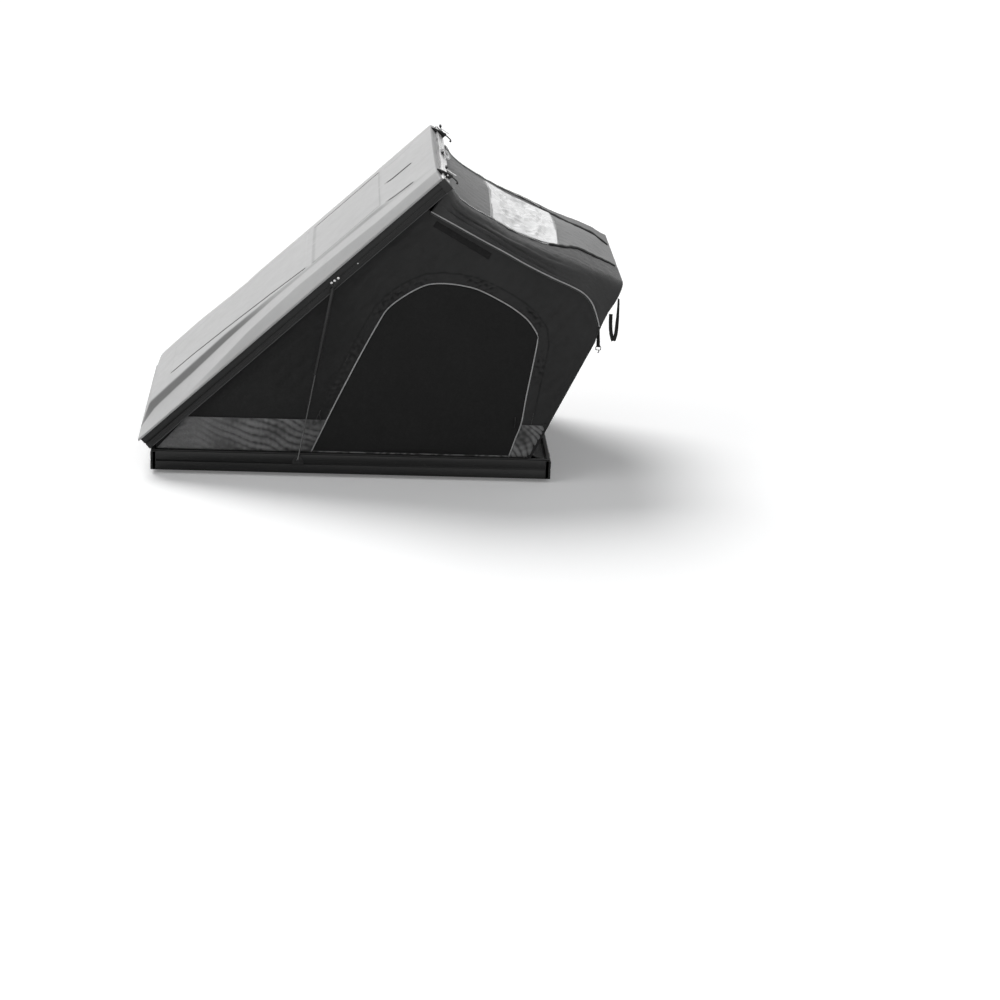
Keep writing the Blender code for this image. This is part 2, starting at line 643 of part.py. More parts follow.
def shell_rows():
    """Points of the lid's outer face: rows along s, each from the left edge to the right."""
    stations = {row[0] for row in LID_STATIONS}
    stations |= {CREASE_START_S, CREASE_START_S + 0.006, CREASE_END_S, CREASE_END_S + 0.006}
    stations |= {PANEL_START_S, PANEL_START_S + PANEL_STEP, PANEL_END_S - PANEL_STEP, PANEL_END_S}
    stations |= {RIB_START_S, RIB_START_S + RIB_FLANK, RIB_END_S - RIB_FLANK, RIB_END_S}

    def half_row(s):
        shoulder_y, shoulder_n, foot_y, foot_n, edge_y, edge_n = (
            interpolate(LID_STATIONS, s, column) for column in range(1, 7))
        crease_y = interpolate(CREASE_LINE, s)
        raised = CREASE_RISE if CREASE_START_S + 0.005 < s < CREASE_END_S + 0.001 else 0.0
        sunk = PANEL_RECESS if PANEL_START_S + 0.001 < s < PANEL_END_S - 0.001 else 0.0
        rib = RIB_RISE if RIB_START_S + 0.001 < s < RIB_END_S - 0.001 else 0.0
        inner_y = crease_y - PANEL_STEP
        mid_y = crease_y / 2
        row = [(SHELL_EDGE_Y, LID_RAIL_HEIGHT + 2 * GAP), (SHELL_EDGE_Y - SHELL_LIP_DRAFT, SHELL_LIP_N),
               (shoulder_y, shoulder_n), (foot_y, foot_n), (edge_y, edge_n),
               (crease_y, platform_n(s, crease_y)),
               (inner_y, platform_n(s, inner_y) + raised - sunk),
               (mid_y, platform_n(s, mid_y) + raised - sunk),
               (RIB_HALF_WIDTH, platform_n(s, RIB_HALF_WIDTH) + raised - sunk),
               (RIB_HALF_WIDTH - RIB_FLANK, platform_n(s, 0.0) + raised - sunk + rib),
               (0.0, platform_n(s, 0.0) + raised - sunk + rib)]
        return row

    def mirrored_row(s, row):
        left = [(s, -y, n) for y, n in row]
        return left + [(s, y, n) for y, n in reversed(row[:-1])]

    nose = half_row(NOSE_S)
    rear = half_row(LID_LENGTH)
    flat_nose = [nose[0], *[(y, SHELL_LIP_N) for y, _ in nose[1:]]]
    rows = [mirrored_row(0.0, [(y, LID_RAIL_HEIGHT + 2 * GAP) for y, _ in nose]),
            mirrored_row(SHELL_LIP_DRAFT, flat_nose)]
    rows += [mirrored_row(s, half_row(s)) for s in sorted(stations)]
    rows.append(mirrored_row(LID_LENGTH, [(y, LID_RAIL_HEIGHT + 2 * GAP) for y, _ in rear]))
    return rows


def lid_rail_outline(outer, inner, high):
    """A lid rail: keder line at the bottom, grooved lower third, T-slot, and a seal groove on top."""
    mouth = SLOT_MOUTH / 2
    cavity = SLOT_CAVITY / 2
    lip = outer - SLOT_LIP
    back = outer - SLOT_DEPTH
    groove = outer - 0.0013
    points = [(inner, 0.0), (outer - 0.002, 0.0), (outer, 0.002)]
    for low in (0.0060, 0.0155):
        points += [(outer, low), (groove, low + 0.001), (groove, low + 0.003), (outer, low + 0.004)]
    points += [(outer, LID_SLOT_N - mouth), (lip, LID_SLOT_N - mouth), (lip, LID_SLOT_N - cavity),
               (back, LID_SLOT_N - cavity), (back, LID_SLOT_N + cavity), (lip, LID_SLOT_N + cavity),
               (lip, LID_SLOT_N + mouth), (outer, LID_SLOT_N + mouth)]
    points += [(outer, 0.0600), (groove, 0.0610), (groove, 0.0640), (outer, 0.0650), (outer, high),
               (inner, high)]
    return points


def build_lid(mats, lid):
    shell = finish("lid_shell", piece(add_grid, shell_rows()), mats["shell"], lid)
    wall = shell.modifiers.new("wall", "SOLIDIFY")
    wall.thickness = SHELL_THICKNESS
    wall.offset = -1.0
    wall.use_even_offset = True

    drop = SHELL_THICKNESS + PANEL_RECESS + 2 * GAP + HEADLINER_THICKNESS / 2
    rows = []
    stations = [row[0] for row in LID_STATIONS if HEADLINER_START_S < row[0] < HEADLINER_END_S]
    for s in [HEADLINER_START_S, *stations, HEADLINER_END_S]:
        half = interpolate(LID_STATIONS, s, 5) - HEADLINER_MARGIN
        rows.append([(s, half * t, platform_n(s, half * t) - drop) for t in (-1, -0.6, -0.3, 0, 0.3, 0.6, 1)])
    finish("headliner", piece(add_sheet, rows, HEADLINER_THICKNESS), mats["lining"], lid)

    hollow = rail_hollow(HALF_WIDTH, RAIL_INNER_Y, 0.0, LID_RAIL_HEIGHT)
    outline = lid_rail_outline(HALF_WIDTH, RAIL_INNER_Y, LID_RAIL_HEIGHT)
    for name, side in (("left", -1), ("right", 1)):
        bm = piece(add_prism, mirrored(outline, side), LID_FRONT_RAIL_S, REAR_RAIL_S - GAP, axis="x",
                   holes=[mirrored(hollow, side)])
        finish(f"lid_side_rail_{name}", bm, mats["black_rail"], lid)

    front = LID_FRONT_RAIL_S
    back = LID_FRONT_RAIL_S + LID_FRONT_RAIL_WIDTH
    wall = RAIL_WALL
    high = LID_RAIL_HEIGHT
    bm = piece(add_prism, [(front, 0.0), (back, 0.0), (back, high), (front, high)],
               -RAIL_INNER_Y + GAP, RAIL_INNER_Y - GAP,
               holes=[[(front + wall, wall), (back - wall, wall), (back - wall, high - wall),
                       (front + wall, high - wall)]])
    finish("lid_front_rail", bm, mats["black_rail"], lid)

    end = REAR_RAIL_END_S
    step = REAR_RAIL_STEP_S
    outline = [(REAR_RAIL_S, 0.0), (step, 0.0), (step, REAR_RAIL_STEP_N), (end - 0.002, REAR_RAIL_STEP_N),
               (end, REAR_RAIL_STEP_N + 0.002), (end, 0.0400), (end - 0.0035, 0.0415),
               (end - 0.0035, 0.0485), (end, 0.0500), (end, high - 0.002), (end - 0.002, high),
               (REAR_RAIL_S, high)]
    hollows = [[(REAR_RAIL_S + wall, wall), (step - wall, wall), (step - wall, high - wall),
                (REAR_RAIL_S + wall, high - wall)],
               [(step, REAR_RAIL_STEP_N + wall), (end - wall, REAR_RAIL_STEP_N + wall),
                (end - wall, 0.0385), (step, 0.0385)],
               [(step, 0.0515), (end - wall, 0.0515), (end - wall, high - wall), (step, high - wall)]]
    bm = piece(add_prism, outline, -HALF_WIDTH, HALF_WIDTH, holes=hollows)
    finish("lid_rear_rail", bm, mats["bright_alloy"], lid)


# Gas struts
def slot_bolt(centre, plate_face, side):
    """A bolt through a bracket's plate into the rail's T-slot, as two solids to be joined to it."""
    deep = HALF_WIDTH - SLOT_DEPTH + GAP
    low, high = sorted((side * deep, side * (plate_face + GAP)))
    shank = piece(add_pin, centre, low, high, SLOT_BOLT_RADIUS, 16)
    low, high = sorted((side * (plate_face - GAP), side * (plate_face + SLOT_BOLT_HEAD_HEIGHT)))
    return [shank, piece(add_pin, centre, low, high, SLOT_BOLT_HEAD_RADIUS, 6)]


def build_struts(mats, lid, rods, cylinders):
    plate_back = HALF_WIDTH + GAP
    plate_face = plate_back + STRUT_PLATE_THICKNESS
    eye_in = STRUT_Y - STRUT_EYE_THICKNESS / 2
    eye_out = STRUT_Y + STRUT_EYE_THICKNESS / 2
    foot = (STRUT_FOOT_X, STRUT_FOOT_Z)
    head = (STRUT_HEAD_S, STRUT_HEAD_N)

    for name, side in (("left", -1), ("right", 1)):
        bolts = [(STRUT_FOOT_X + d, RAIL_SLOT_Z) for d in BASE_BOLT_OFFSETS]
        low = RAIL_SLOT_Z - 0.009
        outline = [(STRUT_FOOT_X - 0.031, low), (STRUT_FOOT_X + 0.031, low),
                   (STRUT_FOOT_X + 0.031, low + 0.018),
                   (STRUT_FOOT_X + 0.013, STRUT_FOOT_Z + 0.014), (STRUT_FOOT_X + 0.007, STRUT_FOOT_Z + 0.018),
                   (STRUT_FOOT_X - 0.007, STRUT_FOOT_Z + 0.018), (STRUT_FOOT_X - 0.013, STRUT_FOOT_Z + 0.014),
                   (STRUT_FOOT_X - 0.031, low + 0.018)]
        low_y, high_y = sorted((side * plate_back, side * plate_face))
        parts = [piece(add_prism, outline, low_y, high_y)]
        for bolt in bolts:
            parts += slot_bolt(bolt, plate_face, side)
        for radius, start, end in ((STRUT_BOSS_RADIUS, plate_face - 0.001, eye_in - GAP),
                                   (STRUT_STUD_RADIUS, plate_face - 0.002, eye_out + 0.0010),
                                   (STUD_HEAD_RADIUS, eye_out + GAP, eye_out + GAP + STUD_HEAD_THICKNESS)):
            low_y, high_y = sorted((side * start, side * end))
            parts.append(piece(add_pin, foot, low_y, high_y, radius))
        finish(f"strut_base_bracket_{name}", fused(parts), mats["black_steel"])

        bolts = [(s, LID_SLOT_N) for s in LID_BOLT_STATIONS]
        start_s = STRUT_HEAD_S - 0.016
        end_s = LID_BOLT_STATIONS[-1] + 0.012
        outline = [(start_s, STRUT_HEAD_N - 0.006), (start_s + 0.008, STRUT_HEAD_N - 0.012),
                   (STRUT_HEAD_S + 0.012, STRUT_HEAD_N - 0.012), (end_s - 0.006, LID_SLOT_N - 0.009),
                   (end_s, LID_SLOT_N - 0.003), (end_s, LID_SLOT_N + 0.005),
                   (end_s - 0.004, LID_SLOT_N + 0.009),
                   (start_s + 0.004, LID_SLOT_N + 0.009), (start_s, LID_SLOT_N + 0.005)]
        low_y, high_y = sorted((side * plate_back, side * plate_face))
        parts = [piece(add_prism, outline, low_y, high_y)]
        for bolt in bolts:
            parts += slot_bolt(bolt, plate_face, side)
        low_y, high_y = sorted((side * (plate_face - 0.001), side * (plate_face + LID_BOSS_HEIGHT)))
        parts.append(piece(add_pin, head, low_y, high_y, STRUT_BOSS_RADIUS))
        finish(f"strut_lid_bracket_{name}", fused(parts), mats["black_steel"], lid)

    length = strut_length()
    bore = STRUT_TUBE_RADIUS - STRUT_TUBE_WALL
    gland = STRUT_TUBE_START + STRUT_GLAND_LENGTH
    hole = STRUT_ROD_RADIUS + RUNNING_FIT
    for name, side in (("left", -1), ("right", 1)):
        low_y, high_y = sorted((side * eye_in, side * eye_out))
        eye = piece(add_prism, circle((0, 0), STRUT_EYE_RADIUS), low_y, high_y,
                    holes=[circle((0, 0), STRUT_STUD_RADIUS + RUNNING_FIT)])
        piston = bore - STRUT_PISTON_CLEARANCE
        profile = [(STRUT_EYE_RADIUS - 0.0015, 0.0), (STRUT_EYE_RADIUS - 0.0015, STRUT_ROD_RADIUS),
                   (STRUT_PISTON_START, STRUT_ROD_RADIUS), (STRUT_PISTON_START, piston),
                   (STRUT_PISTON_START + STRUT_PISTON_LENGTH, piston),
                   (STRUT_PISTON_START + STRUT_PISTON_LENGTH, STRUT_ROD_RADIUS),
                   (STRUT_ROD_TOP, STRUT_ROD_RADIUS), (STRUT_ROD_TOP, 0.0)]
        rod = piece(add_turned, profile, (0.0, side * STRUT_Y, 0.0), (1, 0, 0))
        finish(f"strut_rod_{name}", fused([eye, rod]), mats["chrome"], rods)

        low_y, high_y = sorted((side * (plate_face + LID_BOSS_HEIGHT + GAP), side * eye_out))
        stud = piece(add_pin, (length, 0.0), low_y, high_y, STRUT_EYE_RADIUS)
        chamfer = 0.002
        outer = STRUT_TUBE_RADIUS
        closed_end = STRUT_TUBE_END - 0.006
        profile = [(STRUT_TUBE_START, hole), (STRUT_TUBE_START, outer - chamfer),
                   (STRUT_TUBE_START + chamfer, outer), (STRUT_TUBE_END - chamfer, outer),
                   (STRUT_TUBE_END, outer - chamfer), (STRUT_TUBE_END, STRUT_NECK_RADIUS),
                   (length, STRUT_NECK_RADIUS), (length, 0.0), (closed_end, 0.0), (closed_end, bore),
                   (gland, bore), (gland, hole), (STRUT_TUBE_START, hole)]
        tube = piece(add_strut_tube, profile, (0.0, side * STRUT_Y, 0.0))
        finish(f"strut_cylinder_{name}", fused([tube, stud]), mats["black_steel"], cylinders)


def add_strut_tube(bm, profile, start):
    """The cylinder: a turned shell whose profile runs round its outside, then back along its bore."""
    steps = 16
    rings = []
    for distance, radius in profile[:-1]:
        centre = Vector(start) + Vector((distance, 0.0, 0.0))
        if radius == 0.0:
            rings.append([bm.verts.new(centre)])
            continue
        rings.append([bm.verts.new(centre + Vector((0.0, radius * math.cos(a), radius * math.sin(a))))
                      for a in (2 * math.pi * i / steps for i in range(steps))])
    for first, second in zip(rings, rings[1:] + rings[:1]):
        if len(first) == 1 and len(second) == 1:
            continue
        for i in range(steps):
            j = (i + 1) % steps
            corners = [first[i % len(first)], first[j % len(first)],
                       second[j % len(second)], second[i % len(second)]]
            bm.faces.new(list(dict.fromkeys(corners)))


def strut_length():
    head_x, head_z = lid_to_world(STRUT_HEAD_S, STRUT_HEAD_N)
    return math.hypot(head_x - STRUT_FOOT_X, head_z - STRUT_FOOT_Z)


def strut_lean():
    head_x, head_z = lid_to_world(STRUT_HEAD_S, STRUT_HEAD_N)
    return math.atan2(head_z - STRUT_FOOT_Z, head_x - STRUT_FOOT_X)


# Bow and end hoop
def hoop_pivot():
    return (BOW_X + HOOP_PIVOT_R * math.cos(BOW_LEAN) - HOOP_PIVOT_M * math.sin(BOW_LEAN),
            BOW_Z + HOOP_PIVOT_R * math.sin(BOW_LEAN) + HOOP_PIVOT_M * math.cos(BOW_LEAN))


def hoop_length():
    return math.dist(hoop_pivot(), (HOOP_END_X, HOOP_END_Z))


def hoop_lean():
    x, z = hoop_pivot()
    return math.atan2(HOOP_END_Z - z, HOOP_END_X - x)


def knuckle(y, side, thickness, height, eye_radius, pin_radius, tube_start, plug_radius, plug_length):
    """A flat eye on a plug that sits in a tube's end, along local X from the pivot."""
    half = height / 2
    turn = math.asin(min(1.0, half / eye_radius))
    outline = arc((0, 0), eye_radius, turn, 2 * math.pi - turn, 24)
    outline += [(tube_start - GAP, -half), (tube_start - GAP, half)]
    low, high = sorted((side * (y - thickness / 2), side * (y + thickness / 2)))
    eye = piece(add_prism, outline, low, high, holes=[circle((0, 0), pin_radius + RUNNING_FIT)])
    profile = [(tube_start - 0.004, 0.0), (tube_start - 0.004, min(plug_radius, half) - 0.001),
               (tube_start - GAP, min(plug_radius, half) - 0.001), (tube_start - GAP, plug_radius),
               (tube_start + plug_length, plug_radius), (tube_start + plug_length, 0.0)]
    plug = piece(add_turned, profile, (0.0, side * y, 0.0), (1, 0, 0))
    return fused([eye, plug])


def build_bow(mats, bow, hoop):
    bm = piece(add_tube, u_path(BOW_TUBE_START, BOW_LENGTH, BOW_Y, BOW_CORNER_RADIUS),
               BOW_TUBE_RADIUS, BOW_TUBE_WALL)
    finish("bow_tube", bm, mats["tube"], bow)
    plug = BOW_TUBE_RADIUS - BOW_TUBE_WALL - PLUG_CLEARANCE
    for name, side in (("left", -1), ("right", 1)):
        bm = knuckle(BOW_Y, side, BOW_TONGUE_THICKNESS, BOW_TONGUE_HEIGHT, BOW_EYE_RADIUS,
                     BOW_PIN_RADIUS, BOW_TUBE_START, plug, BOW_PLUG_LENGTH)
        finish(f"bow_knuckle_{name}", bm, mats["black_plastic"], bow)

    bm = piece(add_tube, u_path(HOOP_TUBE_START, hoop_length(), HOOP_Y, HOOP_CORNER_RADIUS, 8),
               HOOP_TUBE_RADIUS, HOOP_TUBE_WALL)
    finish("canopy_hoop", bm, mats["tube"], hoop)
    plug = HOOP_TUBE_RADIUS - HOOP_TUBE_WALL - PLUG_CLEARANCE
    for name, side in (("left", -1), ("right", 1)):
        bm = knuckle(HOOP_Y, side, HOOP_TONGUE_THICKNESS, HOOP_TONGUE_HEIGHT, HOOP_EYE_RADIUS,
                     BOW_PIN_RADIUS, HOOP_TUBE_START, plug, HOOP_PLUG_LENGTH)
        finish(f"hoop_knuckle_{name}", bm, mats["black_plastic"], hoop)

    for name, side in (("left", -1), ("right", 1)):
        ring_in = BOW_TUBE_RADIUS + GAP
        ring_out = ring_in + COLLAR_WALL
        low = HOOP_PIVOT_R - COLLAR_HALF_LENGTH
        high = HOOP_PIVOT_R + COLLAR_HALF_LENGTH
        profile = [(low, ring_in), (low, ring_out), (high, ring_out), (high, ring_in), (low, ring_in)]
        collar = piece(add_turned, profile, (0.0, side * BOW_Y, 0.0), (1, 0, 0))
        ys = sorted((side * CHEEK_FACE_Y, side * CHEEK_BACK_Y))
        cheek = piece(add_box, (HOOP_PIVOT_R - CHEEK_HALF_LENGTH, ys[0], -CHEEK_BEHIND),
                      (HOOP_PIVOT_R + CHEEK_HALF_LENGTH, ys[1], CHEEK_AHEAD))
        tongue_in = HOOP_Y - HOOP_TONGUE_THICKNESS / 2
        centre = (HOOP_PIVOT_R, HOOP_PIVOT_M)
        low_y, high_y = sorted((side * (tongue_in - GAP - 0.001), side * (CHEEK_FACE_Y + 0.002)))
        pin = piece(add_pin, centre, low_y, high_y, BOW_PIN_RADIUS)
        low_y, high_y = sorted((side * (tongue_in - GAP), side * (tongue_in - GAP - PIN_HEAD_THICKNESS)))
        cap = piece(add_pin, centre, low_y, high_y, PIN_HEAD_RADIUS)
        finish(f"hoop_bracket_{name}", fused([collar, cheek, pin, cap]), mats["black_plastic"], bow)

    for name, side in (("left", -1), ("right", 1)):
        floor = FLOOR_THICKNESS + GAP + RAIL_WALL + GAP
        half = BRACKET_HALF_LENGTH
        crown = BOW_EYE_RADIUS + 0.002
        plate_in = BRACKET_FACE_Y - BRACKET_PLATE
        outline = [(BOW_X - half, floor), (BOW_X + half, floor), (BOW_X + half, floor + 0.030)]
        outline += arc((BOW_X, BOW_Z), crown, 0.0, math.pi, 12)
        outline += [(BOW_X - half, floor + 0.030)]
        low_y, high_y = sorted((side * plate_in, side * BRACKET_FACE_Y))
        plate = piece(add_prism, outline, low_y, high_y)
        ys = sorted((side * BRACKET_FOOT_Y, side * (BRACKET_FACE_Y - GAP)))
        foot = piece(add_box, (BOW_X - half + GAP, ys[0], floor),
                     (BOW_X + half - GAP, ys[1], floor + BRACKET_PLATE))
        tongue_in = BOW_Y - BOW_TONGUE_THICKNESS / 2
        tongue_out = BOW_Y + BOW_TONGUE_THICKNESS / 2
        parts = [plate, foot]
        for radius, start, end in ((STRUT_BOSS_RADIUS, tongue_out + GAP, plate_in + 0.001),
                                   (BOW_PIN_RADIUS, tongue_in - GAP - 0.001, plate_in + 0.002),
                                   (PIN_HEAD_RADIUS, tongue_in - GAP - PIN_HEAD_THICKNESS, tongue_in - GAP)):
            low_y, high_y = sorted((side * start, side * end))
            parts.append(piece(add_pin, (BOW_X, BOW_Z), low_y, high_y, radius))
        finish(f"bow_bracket_{name}", fused(parts), mats["black_steel"])


# Latches and pull strap
def ribbon_outline(line, half_width):
    """Outline of a band of even width along a polyline."""
    left = []
    right = []
    for i, point in enumerate(line):
        before = Vector(line[max(i - 1, 0)])
        after = Vector(line[min(i + 1, len(line) - 1)])
        first = (Vector(point) - before).normalized() if i else (after - Vector(point)).normalized()
        second = (after - Vector(point)).normalized() if i < len(line) - 1 else first
        tangent = (first + second).normalized()
        across = Vector((-tangent.y, tangent.x)) * half_width / max(0.4, tangent.dot(first))
        left.append(tuple(Vector(point) + across))
        right.append(tuple(Vector(point) - across))
    return left + right[::-1]


def build_latches(mats, lid, pivots):
    hole = LATCH_BOLT_RADIUS + RUNNING_FIT
    pivot = (LATCH_PIVOT_S, LATCH_PIVOT_N)
    upper = (LATCH_UPPER_BOLT_S, LATCH_UPPER_BOLT_N)
    back = REAR_RAIL_END_S + GAP
    above = LID_RAIL_HEIGHT + 2 * GAP
    shell_back = LID_LENGTH + 0.001
    cheek_outline = [(shell_back, 0.104), (shell_back, above), (back, above), (back, 0.022), (2.168, 0.019),
                     (2.172, 0.024), (2.150, 0.080), (2.134, 0.106)]
    cheek_in = LATCH_LEVER_THICKNESS / 2 + FABRIC_GAP
    cheek_out = cheek_in + LATCH_CHEEK_THICKNESS
    for side, name in ((-1, "left"), (1, "right")):
        y = side * LATCH_Y
        parts = [piece(add_prism, cheek_outline, y + low, y + high)
                 for low, high in ((-cheek_out, -cheek_in), (cheek_in, cheek_out))]
        parts.append(piece(add_box, (back, y - LATCH_FLANGE_HALF_WIDTH, 0.024),
                           (back + LATCH_FLANGE_THICKNESS, y + LATCH_FLANGE_HALF_WIDTH, 0.068)))
        for centre in (pivot, upper):
            reach = cheek_out + LATCH_BOLT_HEAD_HEIGHT
            parts.append(piece(add_pin, centre, y - cheek_out, y + cheek_out, LATCH_BOLT_RADIUS, 16))
            parts += [piece(add_pin, centre, y + low, y + high, LATCH_BOLT_HEAD_RADIUS, 16)
                      for low, high in ((-reach, -cheek_out + GAP), (cheek_out - GAP, reach))]
        finish(f"latch_bracket_{name}", fused(parts), mats["black_steel"], lid)

        half = LATCH_LEVER_THICKNESS / 2
        line = [(s - LATCH_PIVOT_S, n - LATCH_PIVOT_N) for s, n in LATCH_HOOK_LINE]
        knob = (LATCH_KNOB_S - LATCH_PIVOT_S, LATCH_KNOB_N - LATCH_PIVOT_N)
        arm = piece(add_prism, ribbon_outline(line, LATCH_ARM_HALF_WIDTH), y - half, y + half)
        stem = piece(add_prism, ribbon_outline([(0.0, 0.0), knob], LATCH_ARM_HALF_WIDTH * 0.9),
                     y - half + 0.0002, y + half - 0.0002)
        eye = piece(add_pin, (0.0, 0.0), y - half + 0.0001, y + half - 0.0001, LATCH_EYE_RADIUS)
        grip = piece(add_pin, knob, y - LATCH_KNOB_HALF_WIDTH, y + LATCH_KNOB_HALF_WIDTH,
                     LATCH_KNOB_RADIUS, 16)
        solid = fused([arm, stem, eye, grip])
        cutter = piece(add_pin, (0.0, 0.0), y - 0.05, y + 0.05, hole, 16)
        finish(f"latch_hook_{name}", fused([solid, cutter], "DIFFERENCE"), mats["steel"], pivots[name])

        near = HALF_LENGTH + GAP
        far = near + KEEPER_THICKNESS
        lip = HALF_LENGTH + KEEPER_LIP_REACH
        outline = [(near, KEEPER_BOTTOM_Z), (far, KEEPER_BOTTOM_Z), (far, KEEPER_LIP_Z - 0.004),
                   (lip, KEEPER_LIP_Z - 0.004), (lip, KEEPER_LIP_Z + 0.003), (far, KEEPER_TOP_Z),
                   (near, KEEPER_TOP_Z)]
        keeper = piece(add_prism, outline, y - KEEPER_WIDTH / 2, y + KEEPER_WIDTH / 2)
        finish(f"latch_keeper_{name}", keeper, mats["steel"])

    loop_in = STRAP_LOOP_S + STRAP_THICKNESS
    loop_out = loop_in + STRAP_LOOP_GAP
    half = STRAP_WIDTH / 2
    top = STRAP_TOP_N
    bottom = STRAP_BOTTOM_N
    wrap = STRAP_THICKNESS
    outline = [(STRAP_LOOP_S, bottom + wrap), (STRAP_LOOP_S + wrap, bottom), (loop_out, bottom),
               (loop_out + wrap, bottom + wrap), (loop_out + wrap, top - wrap), (loop_out, top),
               (STRAP_LOOP_S + wrap, top), (STRAP_LOOP_S, top - wrap)]
    inner = [(loop_in, bottom + wrap), (loop_out, bottom + wrap), (loop_out, top - wrap),
             (loop_in, top - wrap)]
    finish("pull_strap", piece(add_prism, outline, -half, half, holes=[inner]), mats["webbing_white"], lid)

    bar_n = top - wrap - GAP - 0.0015
    middle = (loop_in + loop_out) / 2
    bar_half = STRAP_LOOP_GAP / 2 - GAP
    bar = piece(add_box, (middle - bar_half, -half - GAP - 0.001, bar_n - 0.0015),
                (middle + bar_half, half + GAP + 0.001, bar_n + 0.0015))
    posts = []
    for side in (-1, 1):
        ys = sorted((side * (half + GAP), side * (half + GAP + ANCHOR_POST_WIDTH)))
        posts.append(piece(add_box, (back, ys[0], bar_n - ANCHOR_POST_HEIGHT / 2),
                           (loop_out + wrap, ys[1], bar_n + ANCHOR_POST_HEIGHT / 2)))
    plate = piece(add_box, (back, -half - 0.006, bar_n - 0.016), (back + 0.0035, half + 0.006, bar_n + 0.009))
    finish("pull_strap_anchor", fused([plate, *posts, bar]), mats["black_plastic"], lid)


# Cloth
def cross(line, height):
    """x on a rising polyline at a height."""
    return interpolate(sorted((z, x) for x, z in line), height)


def shrunk(outline, distance):
    """An outline moved in towards its own middle by a fixed distance, for the zip's gap."""
    moved = []
    count = len(outline)
    area = sum(outline[i - 1][0] * outline[i][1] - outline[i][0] * outline[i - 1][1] for i in range(count))
    sign = 1.0 if area > 0 else -1.0
    for i in range(count):
        before = Vector(outline[i - 1])
        here = Vector(outline[i])
        after = Vector(outline[(i + 1) % count])
        first = (here - before).normalized()
        second = (after - here).normalized()
        tangent = (first + second).normalized()
        inward = Vector((-tangent.y, tangent.x)) * sign
        moved.append(tuple(here + inward * distance / max(0.5, tangent.dot(first))))
    return moved


def rear_line_x(z):
    """x of the cloth's rear edge, a little behind the bow."""
    return BOW_X + WALL_BEHIND_BOW / math.sin(BOW_LEAN) + (z - BOW_Z) / math.tan(BOW_LEAN)


def hoop_directions():
    """Unit vectors of the end hoop: up its legs, and out of its plane to the rear."""
    lean = hoop_lean()
    return (Vector((math.cos(lean), 0.0, math.sin(lean))), Vector((math.sin(lean), 0.0, -math.cos(lean))))


def hood_columns():
    """The roof cover's columns for one side, from the middle out to the seam.

    Each is (y on the hoop's line, distance down its leg, outward direction as (y, up), |y| of the
    cloth, share of the way from the ridge band down to the seam). The last two have no hoop under them.
    """
    up, _ = hoop_directions()
    seam_end = Vector((SEAM_LINE[-1][0], 0.0, SEAM_LINE[-1][1]))
    depth = (Vector((HOOP_END_X, 0.0, HOOP_END_Z)) - seam_end).dot(up)
    radius = HOOD_WRAP_RADIUS
    columns = [(y, 0.0, (0.0, 1.0), y, 0.0) for y in (0.0, 0.20, SKYLIGHT_HALF_WIDTH)]
    for i in range(HOOP_CORNER_STEPS + 1):
        turn = math.pi / 2 * i / HOOP_CORNER_STEPS
        y = HOOP_Y - HOOP_CORNER_RADIUS * (1 - math.sin(turn))
        down = HOOP_CORNER_RADIUS * (1 - math.cos(turn))
        out = (math.sin(turn), math.cos(turn))
        fall = (HOOP_CORNER_RADIUS + radius) * (1 - math.cos(turn)) / (depth + radius)
        columns.append((y, down, out, y + radius * out[0], fall))
    columns.append((None, None, None, FLARE_Y, FLARE_FALL))
    columns.append((None, None, None, SEAM_Y, 1.0))
    return columns


def hood_point(share, y, fall):
    """A point of the roof cover: share runs from the lid's rear rail to the end hoop."""
    up, _ = hoop_directions()
    start = lid_to_world(HOOD_START_S, -0.0005)
    end = (HOOP_END_X + HOOD_WRAP_RADIUS * up.x, HOOP_END_Z + HOOD_WRAP_RADIUS * up.z)
    slope = Vector((end[0] - start[0], end[1] - start[1])).normalized()
    sag = HOOD_SAG * math.sin(math.pi * share)
    ridge = (start[0] + (end[0] - start[0]) * share + sag * slope.y,
             start[1] + (end[1] - start[1]) * share - sag * slope.x)
    seam = along(SEAM_LINE, share)
    return Vector((ridge[0] + (seam[0] - ridge[0]) * fall, y, ridge[1] + (seam[1] - ridge[1]) * fall))


def hoop_cloth_point(column, turn, tuck):
    """Cloth wrapped on the end hoop. turn 0 is on its outer side and a right angle is behind it."""
    up, behind = hoop_directions()
    y, down, out, cloth_y, fall = column
    if y is None:
        point = hood_point(1.0, cloth_y, fall)
        return point + behind * 0.004 * math.sin(turn) - up * tuck
    outward = Vector((0.0, out[0], 0.0)) + up * out[1]
    centre = Vector((HOOP_END_X, y, HOOP_END_Z)) - up * down
    return centre + (outward * math.cos(turn) + behind * math.sin(turn)) * HOOD_WRAP_RADIUS - outward * tuck


def both_sides(row):
    """A half row of points, from the middle out, with its mirror image before it."""
    return [Vector((p.x, -p.y, p.z)) for p in reversed(row[1:])] + row


